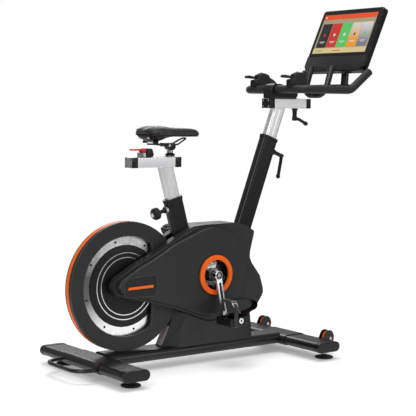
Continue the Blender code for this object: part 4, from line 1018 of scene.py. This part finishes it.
def seat_details():
    p = TILT_PIVOT
    for hand, side in SIDES:
        bolt = [(0, 0.0338), (0.004, 0.0338), (0.0064, 0.0322)]
        bolt += [(0.0072, 0.0305), (0.0072, 0.0275), (0, 0.0275)]
        turned(f"clamp_bolt_{hand}", STEEL, "saddle_clamp", bolt, (0.328, 0, p.z + 0.0045), side * Y, 6)
        disc = [(0, 0.0218), (0.0085, 0.0215), (0.0105, 0.0205), (0.011, 0.0192), (0, 0.0192)]
        turned(f"tilt_disc_{hand}", PAINT, "saddle_clamp", disc, p, side * Y, 32)
    block = [(0.2225, 0.8264), (0.2537, 0.8264), (0.2606, 0.8363), (0.2526, 0.8596)]
    block += [(0.23, 0.8596), (0.229, 0.8446), (0.2225, 0.8446)]
    prism("stem_jacket", PLASTIC, "saddle_stem", block, (0, 0.0226, 0), X, Z, 0.0452, 0.0012)
    foot = [(0.0122, 0.0), (0.0205, 0.0), (0.0205, 0.0035), (0.016, 0.0065), (0.0122, 0.01)]
    turned("stem_foot", PLASTIC, "saddle_stem", foot, (p.x, 0, SEAT_RAIL_Z + 0.0263), Z, 40)
    forward, upward = tube_frame(SEAT_TILT)
    knob = SEAT_TUBE_TOP - upward * PIN_DOWN - forward * TUBE_HALF
    at = knob - forward * 0.0682
    star = []
    for i in range(10):
        angle = math.radians(90 + 36 * i)
        reach = 0.0125 if i % 2 == 0 else 0.0062
        star.append((reach * math.cos(angle), reach * math.sin(angle)))
    prism("knob_star", CHROME, "pop_pin", star, at, Y, -upward, 0.0016, 0.0004)
    for i in range(14):
        angle = 2 * math.pi * i / 14
        out = Y * math.cos(angle) + upward * math.sin(angle)
        line = [knob - forward * far + out * 0.0222 for far in (0.044, 0.061)]
        rod(f"knob_rib_{i}", PLASTIC, "pop_pin", line, 0.0019, 3)
    collar = [(0.0118, 0.0002), (0.0165, 0.0002), (0.0165, 0.007), (0.015, 0.0085), (0.0118, 0.0085)]
    turned("knob_collar", STEEL, "seat_tube", collar, knob, -forward, 32)


# Place along the bike, half width, and the heights of top, skirt and underside.
SADDLE_ROWS = [
    (0.2185, 0.027, 0.929, 0.915, 0.912), (0.222, 0.045, 0.935, 0.913, 0.906),
    (0.2295, 0.061, 0.9405, 0.9115, 0.8965), (0.2405, 0.072, 0.944, 0.9105, 0.888),
    (0.2535, 0.0755, 0.946, 0.9095, 0.883), (0.2665, 0.0755, 0.9465, 0.909, 0.8815),
    (0.2795, 0.072, 0.9465, 0.908, 0.8835), (0.2945, 0.065, 0.9455, 0.9075, 0.8895),
    (0.3105, 0.055, 0.944, 0.907, 0.8965), (0.3285, 0.045, 0.942, 0.9065, 0.9025),
    (0.3505, 0.0366, 0.94, 0.9062, 0.905), (0.3805, 0.0298, 0.9388, 0.9055, 0.905),
    (0.4155, 0.0258, 0.938, 0.905, 0.9047), (0.4455, 0.0232, 0.9365, 0.905, 0.9047),
    (0.4655, 0.0205, 0.9335, 0.9052, 0.905), (0.4785, 0.016, 0.9275, 0.9065, 0.9063),
    (0.4865, 0.009, 0.92, 0.909, 0.9088),
]


def saddle_pad():
    """Padded cover with a channel down its middle: blown up as cloth from a slightly smaller body."""
    hem = ((-0.97, 0.0), (-0.86, 0.0012), (-0.55, 0.003), (0.55, 0.003), (0.86, 0.0012), (0.97, 0.0))
    sections = []
    for x, half, top, skirt, under in SADDLE_ROWS:
        ring = []
        groove = 0.0055 * math.exp(-((x - 0.295) / 0.07) ** 2)
        for i in range(19):
            angle = math.pi * i / 18
            u = math.copysign(abs(math.cos(angle)) ** 0.66, math.cos(angle)) * half
            v = skirt + 0.004 + (top - skirt - 0.004) * math.sin(angle) ** 0.72
            v -= groove * math.exp(-(u / 0.011) ** 2)
            ring.append((x, u, v))
        for share, lift in hem:
            ring.append((x, half * share, skirt + lift))
        sections.append(ring)
    bm = loft_mesh(sections)
    pad = finish_mesh("saddle_cover", bm, VINYL, "saddle", 180)
    voxels(pad, 0.0036)
    bake(pad)
    blow_up(pad)
    relax(pad, 0.5, 3)
    bake(pad)
    subdivide(pad)
    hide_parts("saddle")
    return pad


def bake(obj):
    """Applies the modifiers by writing the evaluated mesh back into the object."""
    bpy.context.view_layer.update()
    graph = bpy.context.evaluated_depsgraph_get()
    made = bpy.data.meshes.new_from_object(obj.evaluated_get(graph))
    old = obj.data
    materials = list(old.materials)
    obj.modifiers.clear()
    obj.data = made
    made.name = obj.name
    made.materials.clear()
    for mat in materials:
        made.materials.append(mat)
    bpy.data.meshes.remove(old)
    for polygon in made.polygons:
        polygon.use_smooth = True


SKIRT_TOP = 0.9115
CLOTH_FRAMES = 20


def blow_up(obj, pressure=3.0, cap=0.003):
    """Cloth under inner pressure, with each point's travel capped and the underside held."""
    rest = [vertex.co.copy() for vertex in obj.data.vertices]
    held = obj.vertex_groups.new(name="held")
    low = [i for i, co in enumerate(rest) if co.z < SKIRT_TOP]
    held.add(low, 1.0, "REPLACE")
    cloth = obj.modifiers.new("cloth", "CLOTH")
    cloth.settings.quality = 6
    cloth.settings.mass = 0.3
    cloth.settings.use_pressure = True
    cloth.settings.uniform_pressure_force = pressure
    cloth.settings.tension_stiffness = 30
    cloth.settings.bending_stiffness = 0.8
    cloth.settings.vertex_group_mass = "held"
    cloth.settings.effector_weights.gravity = 0
    cloth.point_cache.frame_start = 1
    cloth.point_cache.frame_end = CLOTH_FRAMES
    scene = bpy.context.scene
    for number in range(1, CLOTH_FRAMES + 1):
        scene.frame_set(number)
    bake(obj)
    scene.frame_set(1)
    for vertex, start in zip(obj.data.vertices, rest):
        move = vertex.co - start
        if move.length > cap:
            vertex.co = start + move.normalized() * cap
    obj.vertex_groups.clear()


def saddle_parts(pad):
    """Bowl-shaped moulded base under the cover, the piped seams, and the rear bumper with its clips."""
    sections = []
    for x, half, top, skirt, under in SADDLE_ROWS[1:-1]:
        ring = []
        for share in (0.965, 0.8, 0.6, 0.36, 0.12, -0.12, -0.36, -0.6, -0.8, -0.965):
            depth = 1.0 - (abs(share) / 0.965) ** 2
            ring.append((x, half * share, skirt - 0.0004 + (under - skirt) * depth))
        ring.append((x, -half * 0.8, skirt + 0.002))
        ring.append((x, half * 0.8, skirt + 0.002))
        sections.append(ring)
    base = loft("saddle_base", PAN, "saddle", sections, 70)
    subdivide(base)
    edge = []
    for x, half, top, skirt, under in SADDLE_ROWS[1:-1]:
        edge.append(Vector((x, -half * 0.985, skirt + 0.0008)))
    edge += [Vector((point.x, -point.y, point.z)) for point in edge[::-1]]
    rod("saddle_piping", PAN, "saddle", smooth_path(edge, 2), 0.0017, 4)
    for hand, side in SIDES:
        path = []
        for x, half, top, skirt, under in SADDLE_ROWS[2:-2]:
            share = 0.36
            v = skirt + 0.004 + (top - skirt - 0.004) * math.sin(math.pi * share / 2) ** 0.72
            u = abs(math.cos(math.pi * share / 2)) ** 0.66 * half + 0.0016
            path.append(Vector((x, side * u, v + 0.0006)))
        rod(f"saddle_seam_{hand}", VINYL, "saddle", smooth_path(path, 2), 0.0011, 3)
        clip = Vector((0.2285, side * 0.03, 0.9005))
        place = Matrix.Translation(clip) @ Matrix.Rotation(math.radians(-38), 4, "Y")
        corner = Vector((0.002, 0.006, 0.005))
        rounded_box(f"saddle_clip_{hand}", STEEL, "saddle", -corner, corner, 0.0012, place)
        post_at = Vector((0.2585, side * 0.036, 0.88))
        foot = [(0, 0.0), (0.0095, 0.0), (0.011, 0.0015), (0.011, 0.006), (0.0085, 0.01), (0, 0.01)]
        turned(f"saddle_bumper_{hand}", PAN, "saddle", foot, post_at, Z, 32)


def smooth_path(points, rounds):
    """Chaikin corner cutting, with the ends kept."""
    for _ in range(rounds):
        out = [points[0]]
        for one, two in zip(points, points[1:]):
            out.append(one.lerp(two, 0.25))
            out.append(one.lerp(two, 0.75))
        out.append(points[-1])
        points = out
    return points


# Handlebar


def bar_details():
    z = BAR.z
    half = [(1.226, 0.2, 1.176), (1.122, 0.2, z), (BAR.x, 0.19, z)]
    line = bend(half + [(x, -y, zz) for x, y, zz in half[::-1]], 0.055, 12)
    bar = rod("bar_grip", GRIP, "handlebar", line, 0.017, 8)
    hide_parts("handlebar")
    for hand, side in SIDES:
        tip = Vector((1.226, side * 0.2, 1.176))
        along = (tip - Vector((1.122, side * 0.2, z))).normalized()
        plug = [(0, 0.004), (0.01, 0.0036), (0.015, 0.0018)]
        plug += [(0.0168, -0.0002), (0.0168, -0.004), (0, -0.004)]
        turned(f"bar_plug_{hand}", PLASTIC, "handlebar", plug, tip, along, 40)
        y = side * POD_Y
        eye = [(0, 0.0008), (0.0054, 0.0008), (0.0062, 0.0), (0.0062, -0.001), (0, -0.001)]
        pod = f"control_pod_{hand}"
        turned(f"pod_button_{hand}", ORANGE, pod, eye, (0.918, y, 1.1655), (0.25, 0, 1), 28)
        for i, x in enumerate((0.886, 0.9)):
            turned(f"pod_key_{hand}_{i}", SHELL, pod, eye, (x, y, 1.164 + 0.004 * i), (-0.3, 0, 1), 24)
    lever = [(0, 0.012), (0.005, 0.0108), (0.0085, 0.006), (0.009, 0.0), (0.008, -0.006), (0, -0.0075)]
    forward, upward = tube_frame(MAST_TILT)
    tip = MAST_TOP - upward * 0.037 + forward * 0.092 + Vector((-0.0165, 0, -0.086))
    turned("mast_lever_knob", PLASTIC, "mast_lever", lever, tip + 0.002 * Z, (-0.02, 0, -1), 32)
    tip = (1.0515, 0, BAR_RAIL_Z - 0.0835)
    turned("bar_lever_knob", PLASTIC, "bar_lever", lever, tip, (1, 0, -0.42), 32)


def pod_lead():
    """Short curved sleeve from the left pod down to the crossbar."""
    points = [(0.93, 0.12, 1.132), (0.958, 0.14, 1.14), (0.992, 0.162, 1.138)]
    points += [(1.022, 0.178, 1.128), (1.044, 0.188, 1.114), (1.056, 0.195, 1.102)]
    points = [Vector(point) for point in points]
    rod("pod_sleeve", RUBBER, "control_pod_left", smooth_path(points, 3), 0.01, 6)


# Display


def on_screen(u, v):
    """A place on the display's face, right and up from its middle as the rider sees it."""
    return CONSOLE - Y * u + SCREEN_UP * v


def tile(name, mat, low, high, lift, radius=0.0012, thick=0.0004):
    """A thin patch that stands a hair in front of the glass."""
    low, high = Vector(low), Vector(high)
    size, middle = high - low, (low + high) / 2
    outline = round_rect(*size, radius, -middle.x, middle.y, 3)
    base = CONSOLE - SCREEN_BACK * (lift + thick)
    return prism(name, mat, "screen", outline, base, Y, SCREEN_UP, thick, 0.0)


TILE_LEFT = -0.1555
TILE_STEP = 0.0632
TILE_SIZE = 0.0612


def two_tone(name, low, high, start, end):
    """A lit tile whose colour runs from its foot to its top."""
    look = Look(name)
    parts = look.axes()
    ramp = look.between(parts[2], 0.0, 1.0, CONSOLE.z + start, CONSOLE.z + end)
    return lit(look, look.blend(ramp, low, high), low, 0.9)


def display_details():
    """Generic picture of five tiles between a header and a footer."""
    colours = {
        "white": (0.8, 0.8, 0.78), "beige": (0.4, 0.33, 0.21), "cream": (0.72, 0.58, 0.28),
        "orange": (0.8, 0.085, 0.012), "black": (0.018, 0.016, 0.018), "red": (0.62, 0.03, 0.02),
        "green": (0.1, 0.58, 0.13),
    }
    lights = {name: display(f"ui_{name}", colour) for name, colour in colours.items()}
    lights["amber"] = two_tone("ui_amber", (0.8, 0.32, 0.02), (0.62, 0.58, 0.5), -0.03, 0.03)
    lights["grey"] = two_tone("ui_grey", (0.2, 0.19, 0.24), (0.66, 0.64, 0.66), -0.04, 0.036)
    tile("ui_back", lights["beige"], (-0.165, -0.094), (0.167, 0.094), 0.0002, 0.0006, 0.0003)
    tile("ui_header", lights["orange"], (-0.1645, 0.07), (0.1665, 0.0935), 0.0006, 0.0006)
    tile("ui_mark", lights["white"], (-0.156, 0.0785), (-0.148, 0.085), 0.0011, 0.002)
    tile("ui_foot", lights["cream"], (-0.1645, -0.0935), (0.1665, -0.069), 0.0006, 0.0006)
    tile("ui_foot_word", lights["beige"], (-0.15, -0.0845), (-0.105, -0.0795), 0.0011)
    tile("ui_foot_note", lights["orange"], (-0.04, -0.085), (0.01, -0.081), 0.0011)
    marks = {"black": "red", "red": "white", "green": "white", "amber": "black", "grey": "green"}
    for i, (colour, mark) in enumerate(marks.items()):
        left = TILE_LEFT + i * TILE_STEP
        right = left + TILE_SIZE
        tile(f"ui_tile_{colour}", lights[colour], (left, -0.066), (right, 0.05), 0.0006, 0.002)
        at = on_screen(left + TILE_SIZE * 0.52, -0.006) - SCREEN_BACK * 0.0015
        ring = [(0.0018, 0.0), (0.0068, 0.0), (0.0068, 0.0004), (0.0018, 0.0004)]
        turned(f"ui_icon_{colour}", lights[mark], "screen", ring, at, -SCREEN_BACK, 6 if i % 2 else 30)
        for label, gap, low, high in (("word", 0.014, -0.0395, -0.037), ("note", 0.019, -0.0445, -0.043)):
            corners = (left + gap, low), (right - gap, high)
            tile(f"ui_{label}_{colour}", lights["white"], *corners, 0.0011, 0.0005)


def console_details():
    """Side keys, the chin with its speaker dots, and vents in the back of the housing."""
    housing = "console_housing"
    for hand, side in SIDES:
        for i in range(2):
            base = CONSOLE + side * 0.1882 * Y + SCREEN_UP * (0.04 - 0.03 * i) + SCREEN_BACK * 0.018
            key, across = slot_shape(0.005, 0.016), SCREEN_BACK * side
            prism(f"side_key_{hand}_{i}", EDGE_GREY, housing, key, base, across, SCREEN_UP, 0.0022, 0.0006)
    chin = [(-0.186, -0.1775), (0.186, -0.1775), (0.186, -0.1085), (-0.186, -0.1085)]
    chin = rounded(chin, [0.032, 0.032, 0.001, 0.001], 8)
    base = CONSOLE - SCREEN_BACK * 0.0006
    prism("display_chin", SHELL_DARK, housing, chin, base, Y, SCREEN_UP, 0.0016, 0.0005)
    for i in range(24):
        at = CONSOLE - SCREEN_UP * (0.128 if i % 2 else 0.136) + Y * (0.0046 * (i - 11.5))
        at -= SCREEN_BACK * 0.001
        dot = [(0, 0.0), (0.0011, 0.0), (0.0009, 0.0005), (0, 0.0006)]
        turned(f"speaker_dot_{i}", PLASTIC, housing, dot, at, -SCREEN_BACK, 10)
    for i in range(7):
        vent = slot_shape(0.06, 0.003, 0, -0.065 + 0.01 * i)
        base = CONSOLE + SCREEN_BACK * 0.0418
        prism(f"back_vent_{i}", SHELL_DARK, housing, vent, base, Y, SCREEN_UP, 0.0006, 0.0001)


# Camera, light and floor

ROOM_LIGHT = 0.32
FLOOR_HALF = 30
FLOOR_GLOW = 0.22
FLOOR_SEEN = 0.24
LAMPS_AIM = Vector((0, 0, 0.6))
# Name, place, size in metres, watts.
LAMPS = (
    ("key", (-3.4, -2.4, 3.0), 2.0, 60),
    ("side", (2.2, -4.2, 1.8), 1.6, 30),
    ("back", (1.6, 3.4, 2.6), 2.2, 45),
    ("top", (-0.2, -0.2, 3.6), 2.6, 75),
)


def studio():
    """White sweep: the camera sees white, while the bike is lit by soft boxes in a dimmer room."""
    scene = bpy.context.scene
    scene.view_settings.view_transform = "Standard"
    world = bpy.data.worlds.new("studio")
    world.use_nodes = True
    tree = world.node_tree
    back = tree.nodes["Background"]
    back.inputs[0].default_value = (1, 1, 1, 1)
    rays = tree.nodes.new("ShaderNodeLightPath")
    level = tree.nodes.new("ShaderNodeMapRange")
    level.inputs["To Min"].default_value = ROOM_LIGHT
    level.inputs["To Max"].default_value = 1.0
    tree.links.new(rays.outputs["Is Camera Ray"], level.inputs["Value"])
    tree.links.new(level.outputs[0], back.inputs[1])
    scene.world = world
    mesh = bpy.data.meshes.new("floor")
    bm = bmesh.new()
    bmesh.ops.create_grid(bm, x_segments=1, y_segments=1, size=FLOOR_HALF)
    bm.to_mesh(mesh)
    bm.free()
    floor = bpy.data.objects.new("floor", mesh)
    look = Look("floor_white")
    parts = look.axes()
    square = [look.maths("MULTIPLY", parts[i], parts[i]) for i in (0, 1)]
    away = look.maths("SQRT", look.maths("ADD", *square))
    far = look.between(away, 0.0, 1.0, 0.9, 2.8)
    near = look.blend(look.noise(0.6, 2.0), (0.9, 0.9, 0.9), (0.92, 0.92, 0.92))
    look.set("Base Color", look.blend(far, near, (0.0, 0.0, 0.0)))
    look.set("Roughness", 0.75)
    look.set("Specular IOR Level", 0.1)
    look.set("Emission Color", (1, 1, 1, 1))
    seen = look.node("ShaderNodeLightPath").outputs["Is Camera Ray"]
    shown = look.between(far, FLOOR_SEEN, 1.0, 0.0, 1.0)
    look.set("Emission Strength", look.between(seen, FLOOR_GLOW, shown, 0.0, 1.0))
    mesh.materials.append(look.mat)
    scene.collection.objects.link(floor)
    for name, place, size, power in LAMPS:
        lamp = bpy.data.lights.new(name, "AREA")
        lamp.size = size
        lamp.energy = power
        obj = bpy.data.objects.new(name, lamp)
        obj.location = place
        obj.rotation_euler = (LAMPS_AIM - Vector(place)).to_track_quat("-Z", "Y").to_euler()
        scene.collection.objects.link(obj)


CAMERA_PLACE = Vector((-2.3772, -3.9058, 1.0235))
CAMERA_YAW = math.radians(53.2477)
CAMERA_PITCH = math.radians(-4.7743)
CAMERA_ROLL = math.radians(0.5902)
SENSOR_MM = 36
LENS_MM = 105.1416


def camera():
    """Stands where the photograph was taken from."""
    yaw, pitch, roll = CAMERA_YAW, CAMERA_PITCH, CAMERA_ROLL
    ahead = Vector((math.cos(pitch) * math.cos(yaw), math.cos(pitch) * math.sin(yaw), math.sin(pitch)))
    right = Vector((math.sin(yaw), -math.cos(yaw), 0))
    up = right.cross(ahead)
    rolled_right = right * math.cos(roll) + up * math.sin(roll)
    rolled_up = up * math.cos(roll) - right * math.sin(roll)
    data = bpy.data.cameras.new("camera")
    data.sensor_width = SENSOR_MM
    data.lens = LENS_MM
    data.clip_end = 100
    obj = bpy.data.objects.new("camera", data)
    turn = Matrix((rolled_right, rolled_up, -ahead)).transposed()
    obj.matrix_world = Matrix.Translation(CAMERA_PLACE - MIDDLE_X * X) @ turn.to_4x4()
    bpy.context.scene.collection.objects.link(obj)
    bpy.context.scene.camera = obj


dress_all()
base_details()
vent_plate()
cover_details()
guard_details()
flywheel_details()
crank_details()
pedal_details()
toe_cage_pieces()
rail_caps()
seat_details()
saddle_parts(saddle_pad())
bar_details()
pod_lead()
display_details()
console_details()
studio()
camera()
